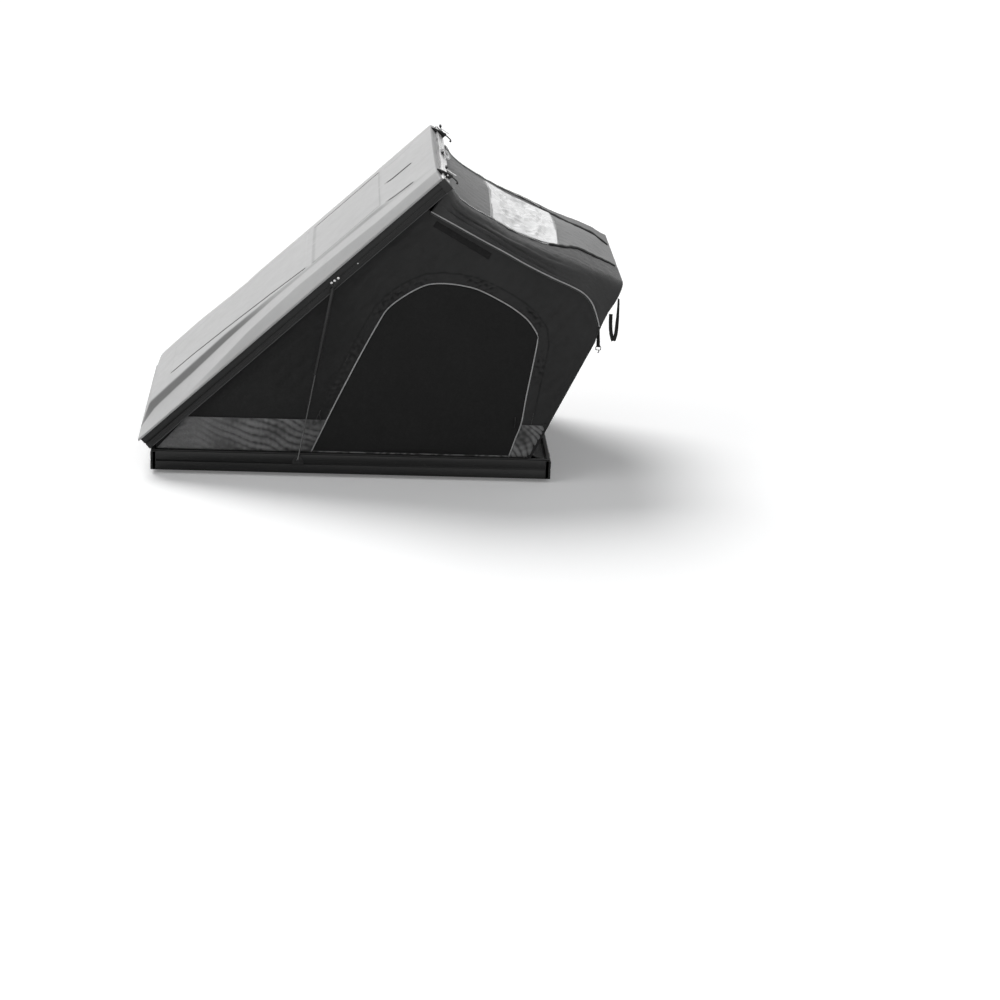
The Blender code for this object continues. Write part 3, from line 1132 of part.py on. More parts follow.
def build_cloth(mats, lid):
    front_x, front_z = lid_to_world(CANVAS_FRONT_S, CANVAS_LID_N)
    seam = [(x, z - 0.004) for x, z in SEAM_LINE]
    top_rear = lid_to_world(CANVAS_REAR_S, CANVAS_LID_N)
    inside_x = -RAIL_INNER_X + 2 * GAP
    over_seal = RAIL_TOP_Z + SEAL_HEIGHT + 0.002
    outline = [(inside_x, over_seal), (inside_x, CANVAS_FOOT_Z), (rear_line_x(BOW_Z) - 0.004, CANVAS_FOOT_Z),
               (rear_line_x(BOW_Z), BOW_Z), (rear_line_x(0.76), 0.76), *reversed(seam), top_rear,
               (front_x, front_z)]
    door_gap = FABRIC_GAP
    door = shrunk(list(DOOR_LINE), door_gap)
    for name, side in (("left", -1), ("right", 1)):
        low, high = sorted((side * CANVAS_INNER_Y, side * CANVAS_OUTER_Y))
        bm = piece(add_prism, outline, low, high, holes=[list(DOOR_LINE)])
        finish(f"side_wall_{name}", bm, mats["canvas"])
        finish(f"side_door_{name}", piece(add_prism, door, low, high), mats["canvas_door"])

        skirt_low, skirt_high = sorted((side * SKIRT_INNER_Y, side * SKIRT_OUTER_Y))
        lid_edge = HINGE_X + (SKIRT_TOP_Z - HINGE_Z) / math.tan(OPEN)
        door_left = [(x, z) for z, x in sorted((z, x) for x, z in DOOR_LINE[:4])]
        door_right = [(x, z) for z, x in sorted((z, x) for x, z in DOOR_LINE[-5:])]
        sill = RAIL_TOP_Z + SEAL_HEIGHT + SKIRT_HEM
        points = [(inside_x, over_seal), (inside_x, CANVAS_FOOT_Z),
                  (rear_line_x(BOW_Z) - 0.004, CANVAS_FOOT_Z),
                  (rear_line_x(sill), sill),
                  (rear_line_x(SKIRT_TOP_Z), SKIRT_TOP_Z),
                  (cross(door_right, SKIRT_TOP_Z) + 0.002, SKIRT_TOP_Z),
                  (cross(door_right, sill) + 0.002, sill), (cross(door_left, sill) - 0.002, sill),
                  (cross(door_left, SKIRT_TOP_Z) - 0.002, SKIRT_TOP_Z), (lid_edge, SKIRT_TOP_Z)]
        finish(f"skirt_{name}", piece(add_prism, points, skirt_low, skirt_high), mats["skirt"])

    columns = hood_columns()
    shares = [0.0, 0.05, 0.11, 0.18, SKYLIGHT_START, 0.36, 0.45, 0.54, SKYLIGHT_END - 0.04, SKYLIGHT_END,
              0.76, 0.84, 0.90, 0.95]
    hem = Vector((0.0, 0.0, -HOOD_HEM))
    rows = [[hood_point(share, y, fall) for _, _, _, y, fall in columns] for share in shares]
    rows += [[hoop_cloth_point(column, turn, 0.0) for column in columns]
             for turn in (math.pi / 2 * i / WRAP_STEPS for i in range(WRAP_STEPS + 1))]
    rows.append([hoop_cloth_point(column, math.pi / 2, HOOD_TUCK) for column in columns])
    rows = [both_sides([*row, row[-1] + hem]) for row in rows]
    first = shares.index(SKYLIGHT_START)
    last = shares.index(SKYLIGHT_END)
    middle = len(columns)
    pane_half = [column[3] for column in columns].index(SKYLIGHT_HALF_WIDTH)

    def in_skylight(r, c):
        return first <= r < last and middle - pane_half <= c < middle + pane_half

    finish("roof_cover", piece(add_sheet, rows, CANVAS_THICKNESS, in_skylight), mats["hood"])
    pane = []
    for i in range(first, last + 1):
        inset = {first: FABRIC_GAP, last: -FABRIC_GAP}.get(i, 0.0)
        half_row = [hood_point(shares[i] + inset, min(y, SKYLIGHT_HALF_WIDTH - FABRIC_GAP), 0.0)
                    for _, _, _, y, _ in columns[:pane_half + 1]]
        pane.append(both_sides(half_row))
    finish("skylight_pane", piece(add_sheet, pane, CANVAS_THICKNESS / 2), mats["clear"])

    levels = [0.12, 0.16, 0.30, 0.45, 0.60, 0.70, 0.76]
    door_y = [0.0, 0.18, REAR_DOOR_HALF_WIDTH]
    wall_columns = [(y, 0.0, (0.0, 1.0), y, 0.0) for y in door_y]
    wall_columns += [column for column in columns
                     if column[0] is not None and column[0] > REAR_DOOR_HALF_WIDTH]
    wall_columns += [columns[-2], (None, None, None, REAR_WALL_HALF_WIDTH, 0.95)]

    def wall_column(column):
        y = column[3] if column[0] is None else column[0]
        top = hoop_cloth_point(column, math.pi / 2, HOOD_TUCK + 4 * FABRIC_GAP)
        points = [Vector((REAR_WALL_FOOT_X, y, REAR_WALL_FOOT_Z)), Vector((0.985, y, 0.108))]
        points += [Vector((rear_line_x(z), y, z)) for z in levels]
        knee = points[-1]
        return [*points, knee.lerp(top, 0.4), knee.lerp(top, 0.75), top]

    rows = [both_sides(list(row)) for row in zip(*(wall_column(column) for column in wall_columns))]
    door_rows = (3, 8)
    middle = len(wall_columns) - 1
    door_span = len(door_y) - 1

    def in_door(r, c):
        return door_rows[0] <= r < door_rows[1] and middle - door_span <= c < middle + door_span

    finish("rear_wall", piece(add_sheet, rows, CANVAS_THICKNESS, in_door), mats["canvas"])
    door = []
    for r in range(door_rows[0], door_rows[1] + 1):
        middle_point = rows[r][middle]
        shift = {door_rows[0]: FABRIC_GAP, door_rows[1]: -FABRIC_GAP}.get(r, 0.0)
        door.append(both_sides([Vector((middle_point.x + shift * math.cos(BOW_LEAN),
                                        min(y, REAR_DOOR_HALF_WIDTH - FABRIC_GAP),
                                        middle_point.z + shift * math.sin(BOW_LEAN))) for y in door_y]))
    finish("rear_door", piece(add_sheet, door, CANVAS_THICKNESS), mats["canvas_door"])

    outline = ribbon_outline(list(HOOD_STRAP_LINE), STRAP_THICKNESS / 2)
    for name, side in (("left", -1), ("right", 1)):
        low, high = sorted((side * (HOOD_STRAP_Y - HOOD_STRAP_WIDTH / 2),
                            side * (HOOD_STRAP_Y + HOOD_STRAP_WIDTH / 2)))
        finish(f"hood_strap_{name}", piece(add_prism, outline, low, high), mats["webbing_black"])


def main():
    clear_scene()
    mats = {
        "shell": material("lid_grey_white", (0.55, 0.55, 0.55), 0.0, 0.35),
        "black_rail": material("black_anodised", (0.02, 0.02, 0.022), 0.6, 0.4),
        "bright_alloy": material("bright_anodised", (0.75, 0.76, 0.77), 1.0, 0.3),
        "black_steel": material("black_coated_steel", (0.02, 0.02, 0.02), 0.4, 0.45),
        "steel": material("zinc_steel", (0.6, 0.6, 0.6), 1.0, 0.3),
        "chrome": material("chromed_rod", (0.8, 0.8, 0.8), 1.0, 0.12),
        "tube": material("dark_alloy_tube", (0.10, 0.10, 0.10), 0.8, 0.4),
        "black_plastic": material("black_plastic", (0.02, 0.02, 0.02), 0.0, 0.5),
        "rubber": material("black_rubber", (0.015, 0.015, 0.015), 0.0, 0.8),
        "panel": material("floor_panel_grey", (0.35, 0.35, 0.36), 0.1, 0.5),
        "lining": material("headliner_grey", (0.32, 0.32, 0.33), 0.0, 0.9),
        "mattress": material("mattress_cloth", (0.16, 0.17, 0.19), 0.0, 0.9),
        "canvas": material("dark_canvas", (0.025, 0.026, 0.028), 0.0, 0.85),
        "canvas_door": material("dark_canvas_door", (0.015, 0.015, 0.017), 0.0, 0.85),
        "hood": material("grey_roof_cloth", (0.15, 0.15, 0.15), 0.0, 0.8),
        "skirt": material("grey_skirt_cloth", (0.12, 0.12, 0.125), 0.0, 0.85),
        "clear": material("clear_film", (0.75, 0.78, 0.80), 0.0, 0.1, 0.6),
        "webbing_white": material("white_webbing", (0.7, 0.7, 0.68), 0.0, 0.8),
        "webbing_black": material("black_webbing", (0.02, 0.02, 0.02), 0.0, 0.8),
    }
    lid = axis_empty("lid_axis", (HINGE_X, 0.0, HINGE_Z), -OPEN)
    rods = axis_empty("strut_foot_axis", (STRUT_FOOT_X, 0.0, STRUT_FOOT_Z), -strut_lean())
    cylinders = axis_empty("strut_slide_axis", (0.0, 0.0, 0.0), 0.0, rods)
    bow = axis_empty("bow_axis", (BOW_X, 0.0, BOW_Z), -BOW_LEAN)
    hoop = axis_empty("hoop_axis", (HOOP_PIVOT_R, 0.0, HOOP_PIVOT_M), BOW_LEAN - hoop_lean(), bow)
    latches = {name: axis_empty(f"latch_axis_{name}", (LATCH_PIVOT_S, 0.0, LATCH_PIVOT_N), 0.0, lid)
               for name in ("left", "right")}
    build_base(mats)
    build_front_hinge(mats, lid)
    build_lid(mats, lid)
    build_struts(mats, lid, rods, cylinders)
    build_bow(mats, bow, hoop)
    build_latches(mats, lid, latches)
    build_cloth(mats, lid)


main()
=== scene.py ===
# %% [markdown]
# # A hard shell rooftop tent, dressed
# The moving frame of the tent comes ready made: rails, struts, hinges, bow and latches. This script
# gives every one of them its finish, and makes the pieces that are soft or moulded: the lid's skin,
# the canvas, the roof cover, its clear window, the skirt and the bedding. Each step first says what
# the piece is on the real tent and how it is worked out.

import json
import math

import bpy
import numpy as np
from mathutils import Matrix, Vector

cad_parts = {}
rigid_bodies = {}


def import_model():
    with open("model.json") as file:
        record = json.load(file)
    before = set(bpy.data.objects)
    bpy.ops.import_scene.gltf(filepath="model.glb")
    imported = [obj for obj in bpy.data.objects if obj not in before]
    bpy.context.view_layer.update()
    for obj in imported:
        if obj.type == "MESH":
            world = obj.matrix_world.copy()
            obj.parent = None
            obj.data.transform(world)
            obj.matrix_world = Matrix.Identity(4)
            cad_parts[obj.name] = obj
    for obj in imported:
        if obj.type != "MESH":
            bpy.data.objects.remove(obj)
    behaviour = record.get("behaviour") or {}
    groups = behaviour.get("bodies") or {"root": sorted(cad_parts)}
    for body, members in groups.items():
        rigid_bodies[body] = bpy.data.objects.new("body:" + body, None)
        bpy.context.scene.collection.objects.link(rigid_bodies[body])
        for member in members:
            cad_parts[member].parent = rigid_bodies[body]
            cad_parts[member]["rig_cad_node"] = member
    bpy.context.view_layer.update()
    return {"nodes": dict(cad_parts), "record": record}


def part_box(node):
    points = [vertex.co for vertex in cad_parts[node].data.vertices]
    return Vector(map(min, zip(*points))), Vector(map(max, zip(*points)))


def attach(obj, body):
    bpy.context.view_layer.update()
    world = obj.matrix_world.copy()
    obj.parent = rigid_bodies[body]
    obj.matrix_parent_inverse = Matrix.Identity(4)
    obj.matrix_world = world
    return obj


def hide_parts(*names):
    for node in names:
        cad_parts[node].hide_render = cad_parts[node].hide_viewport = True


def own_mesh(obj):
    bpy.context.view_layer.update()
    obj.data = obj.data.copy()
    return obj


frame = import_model()

# %% [markdown]
# ## Where things are
# The lid turns about its front hinge, so its pieces are easiest to write as s along the lid, y across
# and n out of it. One rotation by the open angle puts such points in the world. The lines of the canvas,
# such as the door's arch and the seam under the roof cover, lie in the side walls' upright plane.

# %% Sizes that several pieces share
HINGE = np.array([-1.079, 0.0, 0.106])
OPEN = math.radians(43.16)
LID_END = 2.1275          # rear edge of the moulded lid, along s
LID_HALF = 0.676          # half the width of the moulded lid
RAIL_HALF = 0.674         # half the width over the rails
RAIL_HIGH = 0.0711        # top of the lid's rails, where the moulding starts
WALL_Y = 0.6420           # outer face of the side walls
SKIRT_Y = 0.6447          # inner face of the skirts
SKIRT_TOP = 0.290         # their upper edge
BOW_LINE = (0.9615, 0.106, math.radians(64.6))   # rear edge of the canvas: x and z of its foot, and lean
SEAM_Y = 0.6464           # seam of the roof cover on the side wall
SEAM_LINE = np.array([(0.378, 1.441), (0.501, 1.377), (0.637, 1.305), (0.765, 1.240), (0.894, 1.171),
                      (1.022, 1.110), (1.134, 1.062), (1.195, 1.029), (1.240, 0.983), (1.269, 0.919),
                      (1.290, 0.849)])
DOOR_LINE = np.array([(-0.218, 0.106), (-0.175, 0.203), (-0.077, 0.423), (0.036, 0.663), (0.128, 0.845),
                      (0.169, 0.912), (0.242, 0.975), (0.326, 1.028), (0.389, 1.052), (0.474, 1.057),
                      (0.561, 1.048), (0.647, 1.027), (0.768, 0.969), (0.846, 0.922), (0.913, 0.868),
                      (0.966, 0.791), (0.967, 0.757), (0.955, 0.667), (0.922, 0.451), (0.902, 0.301),
                      (0.873, 0.208), (0.842, 0.106)])
SIDES = (("left", -1), ("right", 1))
OUTWARD = (0.0, 1.0, 0.0)


def lid_point(s, y, n):
    """Lid coordinates to the world: x = hinge + s cos a - n sin a, z = hinge + s sin a + n cos a."""
    s, y, n = np.broadcast_arrays(*(np.asarray(v, float) for v in (s, y, n)))
    return np.stack([HINGE[0] + s * math.cos(OPEN) - n * math.sin(OPEN), y,
                     HINGE[2] + s * math.sin(OPEN) + n * math.cos(OPEN)], axis=-1)


def rear_x(z):
    """x of the canvas's rear edge, which runs up beside the bow."""
    return BOW_LINE[0] + (z - BOW_LINE[1]) / math.tan(BOW_LINE[2])


# %% [markdown]
# ## A small kit for surfaces
# Nearly every soft piece is a grid of points: two parameters run over it, a formula places each point,
# and neighbouring points make four-sided faces. A cord or a hem is a small profile carried along a
# path. Both are worked out as whole arrays. The UV map holds real metres, so a weave keeps its size.

# %% Curves
def smooth_steps(low, high, value):
    """0 below low, 1 above high, and 3t^2 - 2t^3 between them."""
    t = np.clip((np.asarray(value, float) - low) / (high - low), 0, 1)
    return t * t * (3 - 2 * t)


def falling(low, high, value):
    """1 below low and 0 above high: the reverse of smooth_steps."""
    return 1 - smooth_steps(low, high, value)


def unit(vectors):
    """The same vectors with a length of one."""
    vectors = np.asarray(vectors, float)
    return vectors / np.maximum(np.linalg.norm(vectors, axis=-1, keepdims=True), 1e-9)


def read_at(at, known, values):
    """Every column of values, which are given at the distances known, interpolated at others."""
    return np.stack([np.interp(at, known, column) for column in np.asarray(values).T], axis=-1)


def arc_lengths(path):
    """Distance along a polyline at each of its points."""
    path = np.asarray(path, float)
    return np.concatenate([[0.0], np.cumsum(np.linalg.norm(np.diff(path, axis=0), axis=1))])


def smooth_line(points, count, closed=False):
    """count points on a Catmull-Rom spline through the points, evenly spaced along it."""
    p = np.asarray(points, float)
    if closed:
        q = np.vstack([p[-1], p, p[0], p[1]])
    else:
        q = np.vstack([2 * p[0] - p[1], p, 2 * p[-1] - p[-2]])
    t = np.linspace(0, 1, 24, endpoint=False)[:, None, None]
    a, b, c, d = q[:-3], q[1:-2], q[2:-1], q[3:]
    fine = 0.5 * (2 * b + (c - a) * t + (2 * a - 5 * b + 4 * c - d) * t ** 2
                  + (3 * b - a - 3 * c + d) * t ** 3)
    fine = fine.transpose(1, 0, 2).reshape(-1, p.shape[1])
    fine = np.vstack([fine, p[0] if closed else p[-1]])
    length = arc_lengths(fine)
    at = np.linspace(0, length[-1], count)
    return read_at(at, length, fine)


def on_side(line, y):
    """Points (x, z) of a side wall's plane as points in the world, at a given y."""
    line = np.asarray(line, float)
    return np.stack([line[:, 0], np.broadcast_to(y, len(line)).astype(float), line[:, 1]], axis=1)


# %% Meshes
def add_mesh(name, points, faces, uv=None, smooth=True, values=None):
    """A mesh object from points and faces (an array or a list), with a UV and named values per point."""
    mesh = bpy.data.meshes.new(name)
    faces = faces if isinstance(faces, list) else np.asarray(faces).tolist()
    mesh.from_pydata(np.asarray(points, float).tolist(), [], faces)
    corners = np.zeros(len(mesh.loops), np.int32)
    mesh.loops.foreach_get("vertex_index", corners)
    layer = mesh.uv_layers.new(name="metres")
    if uv is not None:
        layer.data.foreach_set("uv", np.asarray(uv, np.float32)[corners].ravel())
    for key, data in (values or {}).items():
        attribute = mesh.attributes.new(key, "FLOAT", "POINT")
        attribute.data.foreach_set("value", np.asarray(data, np.float32).ravel())
    mesh.polygons.foreach_set("use_smooth", np.full(len(mesh.polygons), smooth))
    mesh.update()
    obj = bpy.data.objects.new(name, mesh)
    bpy.context.collection.objects.link(obj)
    return obj


def grid_faces(rows, columns, start=0, flip=False, close_rows=False, close_columns=False):
    """Faces of a grid of points, stored row after row."""
    r = np.arange(rows if close_rows else rows - 1)[:, None]
    c = np.arange(columns if close_columns else columns - 1)[None, :]
    a = r * columns + c
    b = r * columns + (c + 1) % columns
    d = (r + 1) % rows * columns + c
    e = (r + 1) % rows * columns + (c + 1) % columns
    faces = np.stack([a, b, e, d], axis=-1).reshape(-1, 4) + start
    return faces[:, ::-1] if flip else faces


def both_halves(left, right):
    """One grid from two halves whose first columns are the middle, the left one turned round."""
    return np.concatenate([left[:, :0:-1], right], axis=1)


def metres_uv(points):
    """UV in metres: u is the distance along the middle row, v the distance along the middle column."""
    rows, columns = points.shape[:2]
    u = arc_lengths(points[rows // 2])
    v = arc_lengths(points[:, columns // 2])
    return np.stack([np.broadcast_to(u[None], (rows, columns)),
                     np.broadcast_to(v[:, None], (rows, columns))], axis=-1).reshape(-1, 2)


def add_surface(name, points, flip=False, keep=None, uv=None, values=None):
    """A grid of points as an object. keep says which faces stay, and points that none uses go."""
    points = np.asarray(points, float)
    rows, columns = points.shape[:2]
    faces = grid_faces(rows, columns, flip=flip)
    if keep is not None:
        faces = faces[np.asarray(keep).ravel()]
    uv = metres_uv(points) if uv is None else np.asarray(uv).reshape(-1, 2)
    used, index = np.unique(faces, return_inverse=True)
    flat = points.reshape(-1, 3)[used]
    values = {key: np.asarray(v).ravel()[used] for key, v in (values or {}).items()}
    return add_mesh(name, flat, index.reshape(-1, 4), uv[used], True, values)


def frames_along(path, closed=False, up=(0.0, 0.0, 1.0)):
    """At each point of a path: its direction, a side and a normal, all at right angles."""
    path = np.asarray(path, float)
    if closed:
        along = np.roll(path, -1, axis=0) - np.roll(path, 1, axis=0)
    else:
        along = np.gradient(path, axis=0)
    along = unit(along)
    side = unit(np.cross(along, np.broadcast_to(np.asarray(up, float), path.shape)))
    return along, side, np.cross(side, along)


def add_carried(name, path, profile, closed=False, up=(0.0, 0.0, 1.0)):
    """A closed profile of (side, normal) points carried along a path, with flat end caps."""
    path, profile = np.asarray(path, float), np.asarray(profile, float)
    _, side, normal = frames_along(path, closed, up)
    points = (path[:, None] + side[:, None] * profile[None, :, :1] + normal[:, None] * profile[None, :, 1:])
    rows, columns = points.shape[:2]
    faces = grid_faces(rows, columns, close_rows=closed, close_columns=True, flip=True).tolist()
    if not closed:
        faces.append(list(range(columns)))
        faces.append(list(range((rows - 1) * columns, rows * columns))[::-1])
    round_it = arc_lengths(np.vstack([profile, profile[:1]]))[:-1]
    uv = np.stack([np.broadcast_to(arc_lengths(path)[:, None], (rows, columns)),
                   np.broadcast_to(round_it[None], (rows, columns))], axis=-1).reshape(-1, 2)
    return add_mesh(name, points.reshape(-1, 3), faces, uv)


def oval(half_width, half_height, count=10):
    """Points of an oval profile."""
    turn = np.linspace(0, 2 * np.pi, count, endpoint=False)
    return np.stack([half_width * np.cos(turn), half_height * np.sin(turn)], axis=1)


def slab(half_width, half_height, edge=0.0004):
    """A flat profile with small cut corners, as a strap or a binding has."""
    w, h, e = half_width, half_height, min(edge, half_height * 0.8)
    return np.array([(w, -h + e), (w, h - e), (w - e, h), (-w + e, h), (-w, h - e), (-w, -h + e),
                     (-w + e, -h), (w - e, -h)])


def add_dashes(name, path, normal, pitch, length, width, height, lift=0.0, shift=0.0):
    """A row of small low boxes along a path, for stitches and zip teeth: eight points each."""
    path, normal = np.asarray(path, float), np.asarray(normal, float)
    far = arc_lengths(path)
    at = np.arange(pitch / 2, far[-1], pitch)
    centre = read_at(at, far, path)
    out = unit(read_at(at, far, np.broadcast_to(normal, path.shape)))
    along = unit(read_at(at + pitch / 4, far, path) - centre)
    side = unit(np.cross(out, along))
    centre = centre + out * lift + side * shift
    corner = np.array([(a, b, c) for c in (-1, 1) for a, b in ((-1, -1), (1, -1), (1, 1), (-1, 1))], float)
    top = np.where(corner[:, 2] > 0, 0.7, 1.0)
    corner[:, :2] *= top[:, None]
    points = (centre[:, None] + along[:, None] * corner[None, :, :1] * length / 2
              + side[:, None] * corner[None, :, 1:2] * width / 2
              + out[:, None] * corner[None, :, 2:] * height / 2)
    box = np.array([(3, 2, 1, 0), (4, 5, 6, 7), (0, 1, 5, 4), (1, 2, 6, 5), (2, 3, 7, 6), (3, 0, 4, 7)])
    faces = (box[None] + 8 * np.arange(len(at))[:, None, None]).reshape(-1, 4)
    flat = points.reshape(-1, 3)
    return add_mesh(name, flat, faces, np.zeros((len(flat), 2)), False)


STITCH = (0.0065, 0.0040, 0.0009, 0.0008)       # pitch, length, width and height
LONG_STITCH = (0.0065, 0.0042, 0.0009, 0.0008)
CLOTH = 0.0010            # thickness of the canvas and of the roof cover


def join(name, objects):
    """Several meshes as one object, their points kept where they are."""
    bpy.ops.object.select_all(action="DESELECT")
    for obj in objects:
        obj.select_set(True)
    bpy.context.view_layer.objects.active = objects[0]
    bpy.ops.object.join()
    objects[0].name = name
    return objects[0]


def thicken(obj, thickness, offset=-1.0):
    """Gives a sheet its thickness."""
    wall = obj.modifiers.new("thickness", "SOLIDIFY")
    wall.thickness = thickness
    wall.offset = offset
    return obj


# %% [markdown]
# ## Finishes
# A finish is a small graph of nodes: a base colour that varies a little, a roughness, and a bump at the
# scale of the real grain. Metal and mouldings read the object's own coordinates, cloth reads the UV map,
# so that the weave follows the sheet. Greys are written as they look and turned to linear light here.

# %% Node helpers
def grey(value, warm=0.0):
    """A grey from 0 to 255 as linear colour, a touch warmer or cooler."""
    c = value / 255
    lin = c / 12.92 if c <= 0.04045 else ((c + 0.055) / 1.055) ** 2.4
    return (lin * (1 + warm), lin, lin * (1 - warm), 1.0)


def plug(tree, target, inputs):
    """Sets a node's inputs, by name or number, to plain values or to the outputs of other nodes."""
    for key, value in inputs.items():
        socket = target.inputs[key.replace("_", " ") if isinstance(key, str) else key]
        if isinstance(value, bpy.types.NodeSocket):
            tree.links.new(value, socket)
        else:
            socket.default_value = value
    return target


def node(tree, kind, **inputs):
    """A new node with its inputs set by name."""
    return plug(tree, tree.nodes.new(kind), inputs)


def new_finish(name, colour, roughness, metallic=0.0, specular=0.5):
    """A material with its shader's plain values set, and its node tree."""
    mat = bpy.data.materials.new(name)
    mat.use_nodes = True
    shader = mat.node_tree.nodes["Principled BSDF"]
    plug(mat.node_tree, shader, {"Base_Color": colour, "Roughness": roughness, "Metallic": metallic,
                                 "Specular_IOR_Level": specular})
    return mat, mat.node_tree, shader


def coordinates(tree, source="Object", scale=(1.0, 1.0, 1.0)):
    """Object or UV coordinates, stretched."""
    place = tree.nodes.new("ShaderNodeTexCoord").outputs[source]
    return node(tree, "ShaderNodeMapping", Vector=place, Scale=scale).outputs["Vector"]


def noise(tree, vector, scale, detail=4.0, rough=0.5):
    made = node(tree, "ShaderNodeTexNoise", Vector=vector, Scale=scale, Detail=detail, Roughness=rough)
    return made.outputs["Fac"]


def ramp(tree, value, low, high, from_low=0.3, from_high=0.7):
    """A value from from_low to from_high mapped to low to high."""
    return node(tree, "ShaderNodeMapRange", Value=value, From_Min=from_low, From_Max=from_high,
                To_Min=low, To_Max=high).outputs["Result"]


def mixed(tree, share, first, second):
    """A colour between two, each a plain colour or a socket."""
    made = tree.nodes.new("ShaderNodeMix")
    made.data_type = "RGBA"
    return plug(tree, made, {0: share, 6: first, 7: second}).outputs[2]


def bumped(tree, height, distance, strength=1.0, under=None):
    """The normal bent by a height in metres, on top of another bump if there is one."""
    below = {} if under is None else {"Normal": under}
    return node(tree, "ShaderNodeBump", Height=height, Strength=strength, Distance=distance,
                **below).outputs["Normal"]


def maths(tree, operation, first, second):
    made = tree.nodes.new("ShaderNodeMath")
    made.operation = operation
    return plug(tree, made, {0: first, 1: second}).outputs[0]


def point_value(tree, name):
    """A value that the mesh carries at each of its points."""
    made = tree.nodes.new("ShaderNodeAttribute")
    made.attribute_name = name
    return made.outputs["Fac"]


# %% [markdown]
# ### The moulded lid
# The lid is one vacuum-formed sheet with a satin surface. Up close it has a very fine orange peel. The
# piece carries a value named "line" with painted shade: 1 in the bottom of a groove, less on the steep
# faces, the outer strip and the sunk panel's ends, and the finish darkens there toward grey 40.

# %% Lid finish
def lid_finish():
    mat, tree, shader = new_finish("lid_satin", grey(180), 0.5, 0.0, 0.22)
    place = coordinates(tree)
    cloudy = ramp(tree, noise(tree, place, 2.2, 5.0), 0.0, 1.0)
    base = mixed(tree, cloudy, grey(177, 0.002), grey(184, 0.002))
    fine = ramp(tree, noise(tree, place, 26.0, 6.0, 0.65), 0.0, 0.35, 0.45, 0.8)
    base = mixed(tree, fine, base, grey(168, 0.004))
    # painted shade: the value "line" darkens grooves, steep faces and step edges toward grey 40
    base = mixed(tree, point_value(tree, "line"), base, grey(40))
    peel = bumped(tree, noise(tree, place, 420.0, 2.0), 0.0003, 0.25)
    wave = bumped(tree, noise(tree, place, 5.0, 2.0), 0.004, 0.08, peel)
    rough = ramp(tree, noise(tree, place, 14.0, 3.0), 0.44, 0.58)
    plug(tree, shader, {"Base_Color": base, "Roughness": rough, "Normal": wave})
    return mat


# %% [markdown]
# ### Metals, plastic and rubber
# Anodised rails are drawn, so their scratches run along one axis: the noise is squeezed along X.
# Coated steel is speckled, zinc is cloudy, a piston rod is nearly a mirror.

# %% Hard finishes
def metal_finish(name, tone, roughness, metallic, stretch=(1, 1, 1), grain=60.0, depth=0.0002,
                 wear=0.0, specular=0.5):
    """A metal or plastic with drawn or speckled grain and slightly worn, paler patches."""
    mat, tree, shader = new_finish(name, grey(tone), roughness, metallic, specular)
    place = coordinates(tree, "Object", stretch)
    cloud = ramp(tree, noise(tree, place, grain * 0.12, 4.0), 0.0, 1.0)
    base = mixed(tree, cloud, grey(tone * 0.94, -0.004), grey(min(250, tone * 1.07 + 1), 0.004))
    if wear:
        spots = ramp(tree, noise(tree, coordinates(tree), 38.0, 8.0, 0.7), 0.0, wear, 0.58, 0.75)
        base = mixed(tree, spots, base, grey(min(235, tone + 90)))
    rough = ramp(tree, noise(tree, place, grain, 5.0, 0.6), max(0.05, roughness - 0.08), roughness + 0.1)
    fine = bumped(tree, noise(tree, place, grain * 3, 3.0), depth, 0.3)
    plug(tree, shader, {"Base_Color": base, "Roughness": rough, "Normal": fine})
    return mat


def board_finish():
    """Painted board with a faint grain along its length and small scuffs."""
    mat, tree, shader = new_finish("floor_board", grey(150), 0.55)
    place = coordinates(tree, "Object", (0.12, 1.0, 1.0))
    grain = ramp(tree, noise(tree, place, 70.0, 6.0, 0.6), 0.0, 1.0)
    base = mixed(tree, grain, grey(140, 0.01), grey(158, 0.01))
    fine = bumped(tree, noise(tree, place, 160.0, 4.0), 0.0003, 0.3)
    plug(tree, shader, {"Base_Color": base, "Normal": fine})
    return mat


# %% [markdown]
# ### Cloth
# A woven cloth is threads going over and under. Two crossed bands of sine waves in UV space, half a
# thread apart, make that bump; a soft noise gives the worn, slightly chalky look of coated canvas, and
# the shader's sheen gives its dusty edge. The clear window's film is crumpled and shiny.

